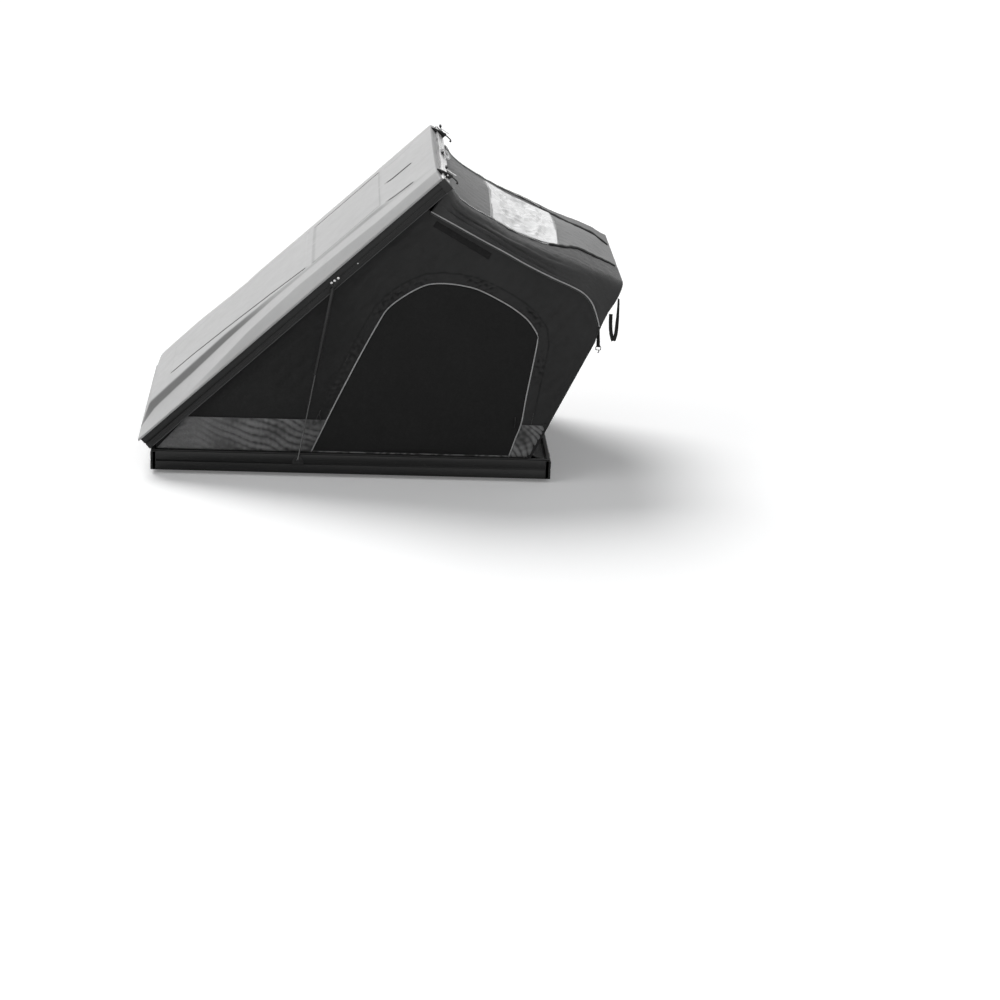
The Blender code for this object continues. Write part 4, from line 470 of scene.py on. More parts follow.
# %% Cloth finish
def cloth_finish(name, tone, thread=0.0011, contrast=0.10, roughness=0.85, sheen=0.15, bump=0.0004,
                 warm=0.0, streak=0.0, dark=None):
    """Woven cloth. thread is the width of a thread in metres."""
    mat, tree, shader = new_finish(name, grey(tone, warm), roughness, 0.0, 0.25)
    place = coordinates(tree, "UV")
    waves = []
    for direction in ("X", "Y"):
        wave = node(tree, "ShaderNodeTexWave", Vector=place, Scale=math.pi / (20 * thread), Distortion=0.6,
                    Detail=1.0)
        wave.wave_type = "BANDS"
        wave.bands_direction = direction
        waves.append(wave.outputs["Fac"])
    weave = maths(tree, "MULTIPLY", waves[0], waves[1])
    around = coordinates(tree)
    big = ramp(tree, noise(tree, around, 3.0, 5.0, 0.55), 0.0, 1.0)
    fine = ramp(tree, noise(tree, around, 90.0, 5.0, 0.7), 0.0, 1.0, 0.35, 0.65)
    base = mixed(tree, big, grey(tone * (1 - contrast), warm), grey(tone * (1 + contrast), warm))
    base = mixed(tree, maths(tree, "MULTIPLY", fine, 0.35), base, grey(tone * 1.25 + 3, warm))
    if streak:
        long_noise = ramp(tree, noise(tree, coordinates(tree, "UV", (1.0, 8.0, 1.0)), 9.0, 4.0), 0, streak)
        base = mixed(tree, long_noise, base, grey(tone * 1.6 + 8, warm))
    # the value "dark" mixes in a darker tone: the roof cover's darker cloth, and painted shade on the walls,
    # the skirts and the cover's grey panel near the lid
    if dark:
        darker_cloth_and_painted_shade = mixed(tree, big, grey(dark * 0.9, warm), grey(dark * 1.12, warm))
        base = mixed(tree, point_value(tree, "dark"), base, darker_cloth_and_painted_shade)
    crease = bumped(tree, noise(tree, around, 24.0, 4.0, 0.6), 0.004, 0.12)
    plug(tree, shader, {"Base_Color": base, "Sheen_Weight": sheen, "Sheen_Roughness": 0.5,
                        "Roughness": ramp(tree, fine, roughness - 0.1, roughness + 0.08, 0, 1),
                        "Normal": bumped(tree, weave, bump, 0.55, crease)})
    return mat


def film_finish():
    """Clear vinyl: mostly seen by what it reflects, a little milky, with fine crumples."""
    mat, tree, shader = new_finish("window_film", grey(252), 0.14, 0.0, 1.0)
    place = coordinates(tree)
    milky = ramp(tree, noise(tree, place, 16.0, 5.0, 0.6), 0.0, 1.0)
    small = bumped(tree, noise(tree, place, 70.0, 3.0), 0.002, 0.35)
    plug(tree, shader, {"Base_Color": mixed(tree, milky, grey(250), grey(255)),
                        "Alpha": ramp(tree, milky, 0.97, 1.0, 0, 1),
                        "Normal": bumped(tree, noise(tree, place, 20.0, 4.0, 0.65), 0.008, 0.4, small)})
    return mat


# %% Every finish of the tent, by name
FINISH = {
    "lid_grey_white": lid_finish(),
    "black_anodised": metal_finish("rail_black", 24, 0.42, 0.25, (0.06, 1, 1), 90.0, 0.0002, 0.10),
    "bright_anodised": metal_finish("rail_bright", 205, 0.28, 0.95, (1, 0.06, 1), 90.0, 0.0002),
    "black_coated_steel": metal_finish("coated_steel", 30, 0.42, 0.2, (1, 1, 1), 140.0, 0.0003, 0.15),
    "zinc_steel": metal_finish("zinc", 190, 0.32, 1.0, (1, 1, 1), 60.0, 0.0001),
    "chromed_rod": metal_finish("piston_rod", 96, 0.26, 0.8, (1, 1, 0.1), 60.0, 0.00003),
    "dark_alloy_tube": metal_finish("tube_alloy", 86, 0.38, 0.85, (1, 0.2, 1), 80.0, 0.0001, 0.12),
    "black_plastic": metal_finish("moulded_black", 28, 0.5, 0.0, (1, 1, 1), 220.0, 0.0004),
    "black_rubber": metal_finish("seal_rubber", 24, 0.72, 0.0, (1, 1, 1), 160.0, 0.0004),
    "floor_panel_grey": board_finish(),
    "headliner_grey": cloth_finish("lining", 150, 0.0016, 0.05, 0.95, 0.3),
    "mattress_cloth": cloth_finish("mattress_cover", 112, 0.0013, 0.06, 0.9, 0.2),
    "dark_canvas": cloth_finish("canvas", 46, 0.0012, 0.12, 0.84, 0.12, dark=31),
    "dark_canvas_door": cloth_finish("door_canvas", 25, 0.0012, 0.12, 0.86, 0.08),
    "grey_roof_cloth": cloth_finish("cover_cloth", 124, 0.0010, 0.06, 0.62, 0.12, dark=64),
    "grey_skirt_cloth": cloth_finish("skirt_cloth", 116, 0.0010, 0.14, 0.60, 0.15, dark=60),
    "clear_film": film_finish(),
    "white_webbing": cloth_finish("webbing_white", 250, 0.0018, 0.03, 0.8, 0.2, 0.0008),
    "black_webbing": cloth_finish("webbing_black", 34, 0.0018, 0.08, 0.8, 0.15, 0.0008),
    "piping": cloth_finish("piping_grey", 172, 0.0009, 0.05, 0.7, 0.1, 0.0003),
    "keder": metal_finish("keder_rubber", 74, 0.6, 0.0, (1, 1, 1), 120.0, 0.0002),
    "thread": cloth_finish("thread_grey", 120, 0.0005, 0.05, 0.8, 0.1, 0.0001),
    "bright_bolt": metal_finish("bolt_zinc", 215, 0.22, 1.0, (1, 1, 1), 60.0, 0.0001),
}
SLOT_OF = {part["node"]: part["material_slot"] for part in frame["record"]["subparts"]}


def dress(obj, finish, body, node_names=()):
    """Gives a new piece its finish, its body and the nodes it stands for."""
    obj.data.materials.clear()
    obj.data.materials.append(FINISH[finish])
    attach(obj, body)
    if node_names:
        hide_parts(*node_names)
    return obj


for name, part in frame["nodes"].items():
    part.data.materials.clear()
    part.data.materials.append(FINISH[SLOT_OF[name]])
for label, _ in SIDES:
    frame["nodes"][f"latch_hook_{label}"].data.materials[0] = FINISH["black_coated_steel"]
print("finishes:", len(FINISH), "frame parts dressed:", len(frame["nodes"]))

# %% [markdown]
# The frame's parts are exact, but their edges are knife sharp. Real rails and brackets have a small
# round on every edge, and it catches the light. A Weld joins the triangles, and a narrow Bevel with
# hardened normals rounds the sharp edges and leaves the flats flat. Neither changes a part's own mesh.

# %% Soft edges on the hard parts
SOFT_SLOTS = {"dark_canvas", "dark_canvas_door", "grey_roof_cloth", "grey_skirt_cloth", "clear_film",
              "white_webbing", "black_webbing", "headliner_grey", "mattress_cloth", "lid_grey_white"}
EDGE_ROUND = {"floor_panel": 0.0008, "rim_seal": 0.0012, "mounting_channel_left": 0.0005,
              "mounting_channel_right": 0.0005}
hard_parts = [part for name, part in frame["nodes"].items() if SLOT_OF[name] not in SOFT_SLOTS]
for part in hard_parts:
    part.data.polygons.foreach_set("use_smooth", np.full(len(part.data.polygons), True))
    weld = part.modifiers.new("weld", "WELD")
    weld.merge_threshold = 0.00002
    edge = part.modifiers.new("edge_round", "BEVEL")
    edge.width = EDGE_ROUND.get(part["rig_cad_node"], 0.0004)
    edge.segments = 2
    edge.limit_method = "ANGLE"
    edge.angle_limit = math.radians(34)
    edge.harden_normals = True
print("parts with rounded edges:", len(hard_parts))

# %% [markdown]
# ## The camera and the studio
# The camera was fitted to the straight lines of the photograph: it stands 14 metres off, above the tent,
# and looks down. The floor is a wide disc that is white to the camera and pale to the light, and keeps
# the tent's shadow. The sky is plain white to the camera and a dim even light for the tent. A broad sun
# overhead and a weaker one from the front left light the lid and the walls.

# %% Camera, light and floor
CAMERA_AT = (-0.082, -13.827, 4.562)
YAW, PITCH, ROLL = (math.radians(v) for v in (3.857, 19.588, 2.687))
LENS_PIXELS = 2593.4      # focal length, for a picture 1000 pixels wide
SENSOR = 36.0
FLOOR_Z = -0.0243

ahead = np.array([math.sin(YAW) * math.cos(PITCH), math.cos(YAW) * math.cos(PITCH), -math.sin(PITCH)])
across = np.array([math.cos(YAW), -math.sin(YAW), 0.0])
upward = np.cross(across, ahead)
right = math.cos(ROLL) * across + math.sin(ROLL) * upward
up = -math.sin(ROLL) * across + math.cos(ROLL) * upward
camera_data = bpy.data.cameras.new("camera")
camera_data.sensor_width = SENSOR
camera_data.lens = SENSOR * LENS_PIXELS / 1000
camera_data.clip_end = 200
camera = bpy.data.objects.new("camera", camera_data)
bpy.context.collection.objects.link(camera)
matrix = np.eye(4)
matrix[:3, :3] = np.stack([right, up, -ahead], axis=1)
matrix[:3, 3] = CAMERA_AT
camera.matrix_world = Matrix(matrix.tolist())
bpy.context.scene.camera = camera
bpy.context.scene.view_settings.view_transform = "Standard"


def white_to_camera(tree, shader_output, target):
    """Shows plain white to camera, mirror and glass rays, and the given shader to all others."""
    path = tree.nodes.new("ShaderNodeLightPath")
    seen = maths(tree, "MAXIMUM", path.outputs["Is Camera Ray"], path.outputs["Is Glossy Ray"])
    seen = maths(tree, "MAXIMUM", seen, path.outputs["Is Transmission Ray"])
    white = node(tree, "ShaderNodeBackground", Strength=1.0, Color=(1, 1, 1, 1))
    mix = plug(tree, tree.nodes.new("ShaderNodeMixShader"), {0: seen, 1: shader_output, 2: white.outputs[0]})
    tree.links.new(mix.outputs[0], target)


world = bpy.data.worlds.new("studio")
bpy.context.scene.world = world
world.use_nodes = True
sky = plug(world.node_tree, world.node_tree.nodes["Background"],
           {"Color": (0.98, 0.99, 1.0, 1.0), "Strength": 0.30})
white_to_camera(world.node_tree, sky.outputs[0], world.node_tree.nodes["World Output"].inputs["Surface"])


def add_lamp(name, energy, spread, toward):
    """A soft sun; toward points from the tent to the lamp."""
    lamp_data = bpy.data.lights.new(name, "SUN")
    lamp_data.energy = energy
    lamp_data.angle = math.radians(spread)
    lamp = bpy.data.objects.new(name, lamp_data)
    bpy.context.collection.objects.link(lamp)
    lamp.rotation_mode = "QUATERNION"
    lamp.rotation_quaternion = Vector(toward).to_track_quat("Z", "Y")


add_lamp("overhead", 2.35, 36, (-0.35, 0.55, 0.76))
add_lamp("fill", 0.50, 40, (-0.78, -0.30, 0.52))

turn = np.linspace(0, 2 * np.pi, 96, endpoint=False)
ring = np.stack([np.cos(turn), np.sin(turn), np.zeros(96)], axis=1)
radii = np.array([0.001, 2.0, 6.0, 14.0, 30.0, 70.0])
disc = (ring[None] * radii[:, None, None]).reshape(-1, 3) + (0, 0, FLOOR_Z)
floor = add_mesh("floor", disc, grid_faces(6, 96, close_columns=True, flip=True))
floor_mat, floor_tree, floor_shader = new_finish("pale_floor", grey(228), 0.9, 0.0, 0.1)
seen = floor_tree.nodes.new("ShaderNodeLightPath").outputs["Is Camera Ray"]
plug(floor_tree, floor_shader, {"Base_Color": mixed(floor_tree, seen, grey(228), grey(255)),
                                "Emission_Color": (1, 1, 1, 1),
                                "Emission_Strength": maths(floor_tree, "MULTIPLY", seen, 0.14)})
floor.data.materials.append(floor_mat)
print("camera lens", round(camera_data.lens, 2), "mm")

# %% [markdown]
# ## The moulded lid
# The lid is one sheet pressed over a mould: a nose at the hinge, a raised platform along the middle with
# steep low walls, sloping shoulders, and a sunk panel near the rear. Such a shape is a profile that
# changes along its length. Each row of the table is one cross section, and the grid's rows are
# interpolated between them. A sharp corner of a profile is rounded by its formula, so the curve stays
# smooth whatever the grid's spacing, and the grid is only made denser where a corner or a groove runs.

# %% The lid's cross sections
SECTIONS = np.array((   # s, then y and n of the shoulder, of the wall's foot and of the platform's edge
    (0.125, 0.6580, 0.0805, 0.4800, 0.1080, 0.4500, 0.1480),
    (0.168, 0.6575, 0.0810, 0.4790, 0.1110, 0.4515, 0.1500),
    (0.290, 0.6550, 0.0830, 0.4720, 0.1150, 0.4450, 0.1520),
    (0.435, 0.6470, 0.0905, 0.4640, 0.1170, 0.4385, 0.1540),
    (0.670, 0.6240, 0.1060, 0.4240, 0.1210, 0.4000, 0.1510),
    (0.820, 0.6000, 0.1160, 0.4220, 0.1230, 0.4010, 0.1470),
    (1.000, 0.5790, 0.1183, 0.4230, 0.1250, 0.4025, 0.1420),
    (1.170, 0.5600, 0.1195, 0.4230, 0.1228, 0.4040, 0.1350),
    (1.270, 0.5650, 0.1180, 0.4235, 0.1222, 0.4055, 0.1310),
    (1.480, 0.5750, 0.1150, 0.4290, 0.1195, 0.4120, 0.1300),
    (1.710, 0.5950, 0.1098, 0.4370, 0.1150, 0.4180, 0.1300),
    (1.765, 0.5980, 0.1096, 0.4420, 0.1140, 0.4200, 0.1290),
    (1.850, 0.6000, 0.1094, 0.4560, 0.1125, 0.4320, 0.1200),
    (1.980, 0.6000, 0.1090, 0.4800, 0.1110, 0.4640, 0.1175),
    (2.060, 0.6000, 0.1086, 0.4900, 0.1100, 0.4700, 0.1145),
    (2.1275, 0.6000, 0.1080, 0.4900, 0.1090, 0.4700, 0.1120)))
# s and |y| of the long groove
CREASES = np.array(((0.125, 0.250), (0.270, 0.250), (1.235, 0.385), (1.270, 0.395), (2.1275, 0.395)))
NOSE = 0.125              # where the front slope meets the platform
LIP_Y, LIP_N = 0.6757, 0.078     # where the skin turns down to the rails
CROWN = 0.003             # rise of the platform's middle
ROUND = 0.0045            # radius that rounds a profile's corners


def section(s, column):
    return np.interp(s, SECTIONS[:, 0], SECTIONS[:, column])


def crease_y(s):
    return np.interp(s, CREASES[:, 0], CREASES[:, 1])


def rounded_corner(distance, radius):
    """0 before a corner and the distance past it, joined by half of d + sqrt(d^2 + r^2)."""
    return 0.5 * (distance + np.sqrt(distance ** 2 + radius ** 2))


def skin_height(s, y):
    """Height n of the lid's skin: straight runs with rounded corners, plus a crown on the platform.

    Before the nose line the skin runs straight down to the lip's height at s = 0.
    """
    y = np.abs(y)
    corners = [(section(s, 5), section(s, 6)), (section(s, 3), section(s, 4)),
               (section(s, 1), section(s, 2)), (np.full_like(s, LIP_Y), np.full_like(s, LIP_N))]
    n = corners[0][1] + CROWN * np.clip(1 - (y / corners[0][0]) ** 2, 0, 1)
    before = 0.0
    for (y0, n0), (y1, n1) in zip(corners[:-1], corners[1:]):
        slope = (n1 - n0) / (y1 - y0)
        n = n + (slope - before) * rounded_corner(y - y0, ROUND)
        before = slope
    rise = (n - LIP_N) / NOSE
    return n - rise * rounded_corner(NOSE - s, 0.008)


print("platform height at mid length:", round(float(skin_height(np.array([1.0]), np.array([0.0]))[0]), 4))

# %% [markdown]
# Grooves and raised fields are added to that height. A groove is a bell curve across its line that fades
# at both ends, and the same curve is kept as the value "line", painted shade that the finish reads to darken
# the groove. The value also paints shade on the steep faces, the outer strip and the sunk panel's ends.

# %% Grooves and raised fields
def faded(s, start, end, soft=0.012):
    """1 between start and end, fading to 0 over soft at each."""
    half = soft / 2
    return smooth_steps(start - half, start + half, s) * falling(end - half, end + half, s)


def bell(distance, half_width):
    return np.exp(-(distance / half_width) ** 2)


def lid_details(s, y):
    """Height to add to the skin, and the painted shade at each point: grooves most, steep faces a little."""
    far = np.abs(y)
    crease = crease_y(s)
    edge = section(s, 5)
    groove = bell(far - crease, 0.0048) * (faded(s, 0.275, 1.238, 0.05) + faded(s, 1.285, 1.758, 0.02))
    groove = groove + bell(far - edge + np.where(y < 0, 0.004, 0.046), 0.0042) * faded(s, 1.815, 1.985, 0.03)
    groove = groove + bell(far - 0.012, 0.0042) * faded(s, 1.82, 1.985, 0.03) * (y < 0)
    inside = falling(-0.002, 0.002, far - crease)
    raised = 0.002 * inside * faded(s, 0.27, 1.235, 0.008)
    sunk = -0.0012 * inside * (0.5 * faded(s, 1.272, 1.763, 0.006) + 0.5 * faded(s, 1.305, 1.763, 0.006))
    ribs = 0.004 * falling(0.009, 0.016, far) + 0.003 * falling(0.012, 0.022, np.abs(far - edge + 0.022))
    ribs = ribs * faded(s, 1.80, 1.985, 0.010)
    # painted shade on the steep walls near the nose, on the outer strip and at the sunk panel's ends
    steep = faded(far, edge, section(s, 3), 0.010) * falling(0.70, 1.05, s)
    outer = smooth_steps(-0.006, 0.006, far - section(s, 1)) * smooth_steps(0.35, 0.70, s)
    ends = bell(s - 1.290, 0.010) * inside * 0.30 + bell(s - 1.763, 0.006) * inside * 0.22
    shade = np.clip(1.5 * groove, 0, 1) + 0.46 * steep + 0.17 * outer + ends
    return raised + sunk + ribs - 0.0018 * groove, np.clip(shade, 0, 1)


def cosine_steps(low, high, count):
    """count steps from low up to high, closer together at both ends. The end itself is left out."""
    t = (1 - np.cos(np.linspace(0, np.pi, count + 1)[:-1])) / 2
    return low[:, None] + (high - low)[:, None] * t[None]


marks = (0.27, 1.235, 1.272, 1.305, 1.763, 1.80, 1.985)
close = np.array([-0.008, -0.005, -0.0028, -0.001, 0.001, 0.0028, 0.005, 0.008])
rows_s = np.concatenate([np.linspace(0.0012, 0.105, 8),
                         NOSE + np.array([-0.012, -0.007, -0.003, 0, 0.003, 0.007, 0.012]),
                         np.arange(0.150, 2.112, 0.018), *[m + close for m in marks],
                         [2.118, 2.123, 2.1255, 2.1268]])
rows_s = np.unique(np.round(rows_s, 4))
e, f, h = (section(rows_s, k) for k in (5, 3, 1))
c = crease_y(rows_s)
gap = e - c
zero = np.zeros_like(rows_s)
columns = [np.array([0, 0.004, 0.0085, 0.0105, 0.012, 0.0135, 0.016, 0.018])[None] + zero[:, None],
           cosine_steps(zero + 0.022, c - 0.009, 14),
           c[:, None] + np.array([-0.007, -0.0045, -0.003, -0.0015, 0, 0.0015, 0.003])[None],
           cosine_steps(c + np.minimum(0.0045, 0.4 * gap), e, 9), cosine_steps(e, f, 8), cosine_steps(f, h, 13),
           cosine_steps(h, zero + 0.6735, 6), (0.6735, 0.6750) + zero[:, None]]
half_y = np.concatenate(columns, axis=1)
half_s = np.broadcast_to(rows_s[:, None], half_y.shape)
extra, line = lid_details(half_s, -half_y)
half_n = skin_height(half_s, half_y) + extra
print("lid grid:", half_y.shape, "highest point:", round(float(half_n.max()), 4))

# %% [markdown]
# The border turns straight down beside the rails, at the sides, the nose and the rear end. It is made by
# adding columns and rows round the grid that step over a small round and then drop. The left half is the
# mirror image, and Solidify gives the sheet its 4 mm of plastic.

# %% The lid as one sheet
lip_y = np.array([0.67570, 0.67600, LID_HALF, LID_HALF])
lip_n = np.array([LIP_N - 0.0006, LIP_N - 0.0020, LIP_N - 0.0040, RAIL_HIGH])
right_y, right_n = (np.hstack([half, np.broadcast_to(lip, (len(rows_s), 4))])
                    for half, lip in ((half_y, lip_y), (half_n, lip_n)))
right_n[:, :-4] = np.maximum(right_n[:, :-4], LIP_N - 0.0003)
# line holds the painted shade from lid_details; the turned-down lip gets none
line = np.hstack([line, np.zeros((len(rows_s), 4))])
grid_y = both_halves(-right_y, right_y)
grid_n = both_halves(right_n, right_n)
grid_painted_shade = both_halves(line, line * (right_y > 0.02))
grid_s = np.broadcast_to(rows_s[:, None], grid_y.shape).copy()


def end_row(row, s, drop, floor_n=RAIL_HIGH):
    """A copy of a border row moved to s and lowered, down to the floor height at most."""
    return np.full(grid_y.shape[1], s), grid_y[row], np.maximum(grid_n[row] - drop, floor_n), grid_painted_shade[row] * 0


ends = ([end_row(0, 0.0, 1.0), end_row(0, 0.0, 0.0040), end_row(0, 0.0002, 0.0015), end_row(0, 0.0006, 0.0003)],
        [end_row(-1, 2.1273, 0.0005), end_row(-1, LID_END, 0.0014), end_row(-1, LID_END, 0.012),
         end_row(-1, LID_END, 1.0)])
parts = [np.vstack([np.stack([r[k] for r in ends[0]]), grid, np.stack([r[k] for r in ends[1]])])
         for k, grid in enumerate((grid_s, grid_y, grid_n, grid_painted_shade))]
lid_skin = add_surface("lid_skin", lid_point(*parts[:3]), values={"line": parts[3]})
thicken(lid_skin, 0.0040)
dress(lid_skin, "lid_grey_white", "lid", ["lid_shell"])
print("lid skin:", len(lid_skin.data.polygons), "faces")

# %% [markdown]
# ## The bedding
# The mattress is a crowned pad: its outline is a rounded rectangle, drawn again and again as rings from
# the middle of the underside, round the edge and back to the middle of the top. Each ring has an inset
# and a height. A piping runs round its edge.

# %% Rings of a rounded rectangle
def rounded_rectangle(half_x, half_y, radius, per_corner=10, per_side=24):
    """Points (x, y) round a rectangle with quarter-circle corners, the same count whatever its size."""
    radius = min(radius, half_x, half_y)
    corners = []
    for k, (sx, sy) in enumerate(((1, 1), (-1, 1), (-1, -1), (1, -1))):
        turn = np.linspace(0, np.pi / 2, per_corner) + k * np.pi / 2
        centre = np.array([sx * (half_x - radius), sy * (half_y - radius)])
        corners.append(centre + radius * np.stack([np.cos(turn), np.sin(turn)], axis=1))
    points = []
    for k in range(4):
        points.append(corners[k])
        start, stop = corners[k][-1], corners[(k + 1) % 4][0]
        t = np.linspace(0, 1, per_side + 2)[1:-1, None]
        points.append(start + (stop - start) * t)
    return np.vstack(points)


def add_pad(name, half_x, half_y, rings, radius, height):
    """A closed pad from rings of (inset, z). height(x, y, z) moves each point's z."""
    outlines = []
    for inset, z in rings:
        plan = rounded_rectangle(half_x - inset, half_y - inset, max(radius - inset, 0.004))
        outlines.append(np.column_stack([plan, height(plan[:, 0], plan[:, 1], z)]))
    points = np.stack(outlines)
    rows, count = points.shape[:2]
    faces = grid_faces(rows, count, close_columns=True).tolist()
    flat = points.reshape(-1, 3)
    faces += [list(range(count))[::-1], list(range((rows - 1) * count, rows * count))]
    return add_mesh(name, flat, faces, flat[:, :2])


# %% [markdown]
# The mattress takes the place of the frame's plain block. Two round cords run along its side, one low
# and one high.

# %% Mattress and its piping
bed_low, bed_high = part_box("mattress")
BED_X, BED_Y = bed_high[0], bed_high[1]
BED_BOTTOM, BED_TOP = bed_low[2], bed_high[2]
middle = (BED_BOTTOM + BED_TOP) / 2
half = (BED_TOP - BED_BOTTOM) / 2


def bed_height(x, y, z):
    """The top is quilted: shallow dimples on a 0.24 m diamond net, none near the edge."""
    away = np.minimum(BED_X - np.abs(x), BED_Y - np.abs(y))
    net = np.cos(np.pi * (x + y) / 0.24) * np.cos(np.pi * (x - y) / 0.24)
    dimple = 0.004 * bell(1 - np.abs(net), 0.25) * smooth_steps(0.05, 0.12, away)
    return np.where(z > middle + half * 0.9, z - dimple, z)


side_turn = np.linspace(-90, 90, 9)[1:-1]
pad_rings = [(0.5, BED_BOTTOM + 0.0004), (0.25, BED_BOTTOM + 0.0004), (0.06, BED_BOTTOM + 0.0004),
             (0.03, BED_BOTTOM + 0.0006)]
pad_rings += [(0.022 - 0.022 * math.cos(math.radians(a)), middle + half * 0.96 * math.sin(math.radians(a)))
              for a in side_turn]
pad_rings += [(0.03 + k * 0.0158, BED_TOP - 0.0004 - 0.0008 * math.exp(-k)) for k in range(35)]
mattress = add_pad("mattress_pad", BED_X, BED_Y, pad_rings, 0.07, bed_height)
dress(mattress, "mattress_cloth", "base", ["mattress"])
for label, z in (("low", middle - half * 0.62), ("high", middle + half * 0.62)):
    rim = rounded_rectangle(BED_X - 0.0055, BED_Y - 0.0055, 0.065)
    path = np.column_stack([rim, np.full(len(rim), z)])
    cord = add_carried(f"mattress_piping_{label}", path, oval(0.003, 0.003, 8), closed=True)
    dress(cord, "piping", "base")
print("mattress rings:", len(pad_rings))

# %% [markdown]
# The headliner is a thin quilted pad glued under the lid's platform. Its upper face follows the lid,
# and its lower face is puffed between seams that run across and along.

# %% Headliner
def quilt(u, v, pitch_u, pitch_v):
    """Puffs between crossing seams: |sin| of both directions, so it is 0 along each seam."""
    return np.sqrt(np.abs(np.sin(np.pi * u / pitch_u)) * np.abs(np.sin(np.pi * v / pitch_v)))


lining_s = np.linspace(0.18, 1.95, 200)[:, None] + np.zeros((1, 101))
lining_half = (section(lining_s[:, 0], 5) - 0.030)[:, None]
lining_y = lining_half * np.linspace(-1, 1, 101)[None]
top_n = section(lining_s, 6) + CROWN * (1 - (lining_y / section(lining_s, 5)) ** 2) - 0.0077
edge_in = np.minimum(np.minimum(lining_s - 0.18, 1.95 - lining_s), lining_half - np.abs(lining_y))
puff = 0.0035 + 0.007 * quilt(lining_s - 0.18, lining_y, 0.1475, 0.1400) * smooth_steps(0, 0.02, edge_in)
thin = smooth_steps(-0.001, 0.008, edge_in)
upper = lid_point(lining_s, lining_y, top_n)
lower = lid_point(lining_s, lining_y, top_n - 0.001 - (puff + 0.001) * thin)
count = lining_s.size
shape = lining_s.shape
top_faces = grid_faces(*shape, flip=True)
low_faces = grid_faces(*shape, start=count)
index = np.arange(count).reshape(shape)
border = np.concatenate([index[0, :-1], index[:-1, -1], index[-1, :0:-1], index[:0:-1, 0]])
rim_faces = np.stack([border, np.roll(border, -1), np.roll(border, -1) + count, border + count], axis=1)
flat_uv = np.stack([lining_s, lining_y], axis=-1).reshape(-1, 2)
headliner = add_mesh("headliner_pad", np.vstack([upper.reshape(-1, 3), lower.reshape(-1, 3)]),
                     np.vstack([top_faces, low_faces, rim_faces]), np.vstack([flat_uv, flat_uv]))
dress(headliner, "headliner_grey", "lid", ["headliner"])
print("headliner points:", 2 * count)

# %% [markdown]
# ## Cloth that moves when the lid shuts
# The canvas is sewn to the lid and to the base, and it crumples between them as the lid comes down.

# %% The body each cloth rides on, and helpers for cloth
FOLDS = {
    "walls": ("lid", (-0.7332, 0.0, 0.6800), (-0.4832, 0.0, 0.6342), 0.02),
    "cover": ("lid", (0.8817, 0.0, -0.4719), (0.4195, 0.0, 1.5820), 0.03),
    "rear": ("base", (0.42, 0.0, 0.906), (1.02, 0.0, 0.060), 0.03),
    "skirt": ("base", (0.0, 0.0, 1.0), (0.0, 0.0, 0.1000), 0.02),
}


def fold_away(obj, finish, way, node_names=()):
    """Dresses a cloth piece and puts it on the body that its way names."""
    body, axis, anchor, keep = FOLDS[way]
    dress(obj, finish, body, node_names)
    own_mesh(obj)
    return obj


def flat_area(outline):
    """Area inside a flat outline of (x, z) points, by the shoelace sum."""
    x, z = np.asarray(outline, float).T
    return 0.5 * abs(float(np.dot(x, np.roll(z, -1)) - np.dot(z, np.roll(x, -1))))


def waves(u, v, length, seed, count=10):
    """A smooth uneven field from -1 to 1: a mean of sine waves of about one length in random directions."""
    draw = np.random.default_rng(seed)
    total = 0.0
    for _ in range(count):
        turn, phase = draw.uniform(0, 2 * np.pi, 2)
        pitch = length * draw.uniform(0.7, 1.5)
        total = total + np.sin(2 * np.pi * (u * math.cos(turn) + v * math.sin(turn)) / pitch + phase)
    return total / math.sqrt(count)


def distance_to(line, x, z):
    """Distance from each point (x, z) to the nearest point of a polyline."""
    line = np.asarray(line, float)
    a, b = line[:-1], line[1:]
    best = np.full(np.shape(x), 1e9)
    for (ax, az), (bx, bz) in zip(a, b):
        dx, dz = bx - ax, bz - az
        t = np.clip(((x - ax) * dx + (z - az) * dz) / (dx * dx + dz * dz), 0, 1)
        best = np.minimum(best, np.hypot(x - ax - t * dx, z - az - t * dz))
    return best


def pushed(points, amount, flip=False):
    """Moves a grid of points along its own normals, worked out from the grid's two directions."""
    normal = unit(np.cross(np.gradient(points, axis=1), np.gradient(points, axis=0)))
    return points + normal * np.asarray(amount)[..., None] * (-1 if flip else 1)


def side_surface(name, x, z, out, side, flip, values=None):
    """A grid (x, z) of a side wall's plane standing out to |y| = out, with a UV of real metres."""
    return add_surface(name, np.stack([x, side * out, z], axis=-1), flip=flip, uv=np.stack([x, z], axis=-1),
                       values=values)


print("ways to fold:", list(FOLDS))

# %% [markdown]
# ## The side walls
# Each side wall is one upright sheet with an arched door zipped into it. The sheet is a ring: its inner
# border is the door's arch, its outer border runs up along the lid, down along the roof cover's seam and
# on beside the bow. Rows of the grid blend from one border to the other, column by column, so the
# door's edge is exact. The cloth stands a few millimetres out of its plane where it is slack: a storm
# flap follows the arch, puckered by its stitching, and long faint creases pull toward the corners.

# %% Borders of the side wall
door_line = smooth_line(DOOR_LINE, 141)
lid_line = lid_point(np.linspace(0.045, 1.976, 30), 0.0, 0.012)[:, (0, 2)]
outer_line = np.vstack([(-1.041, 0.106), lid_line, SEAM_LINE - (0.0, 0.003), (rear_x(0.76), 0.76),
                        (rear_x(0.40), 0.40), (rear_x(0.106), 0.106)])


def share_at(line, point):
    """Share of a line's length at its point nearest to the given one."""
    at = arc_lengths(line)
    return at[np.argmin(np.hypot(*(line - point).T))] / at[-1]


def at_share(line, share):
    at = arc_lengths(line)
    return read_at(share * at[-1], at, line)


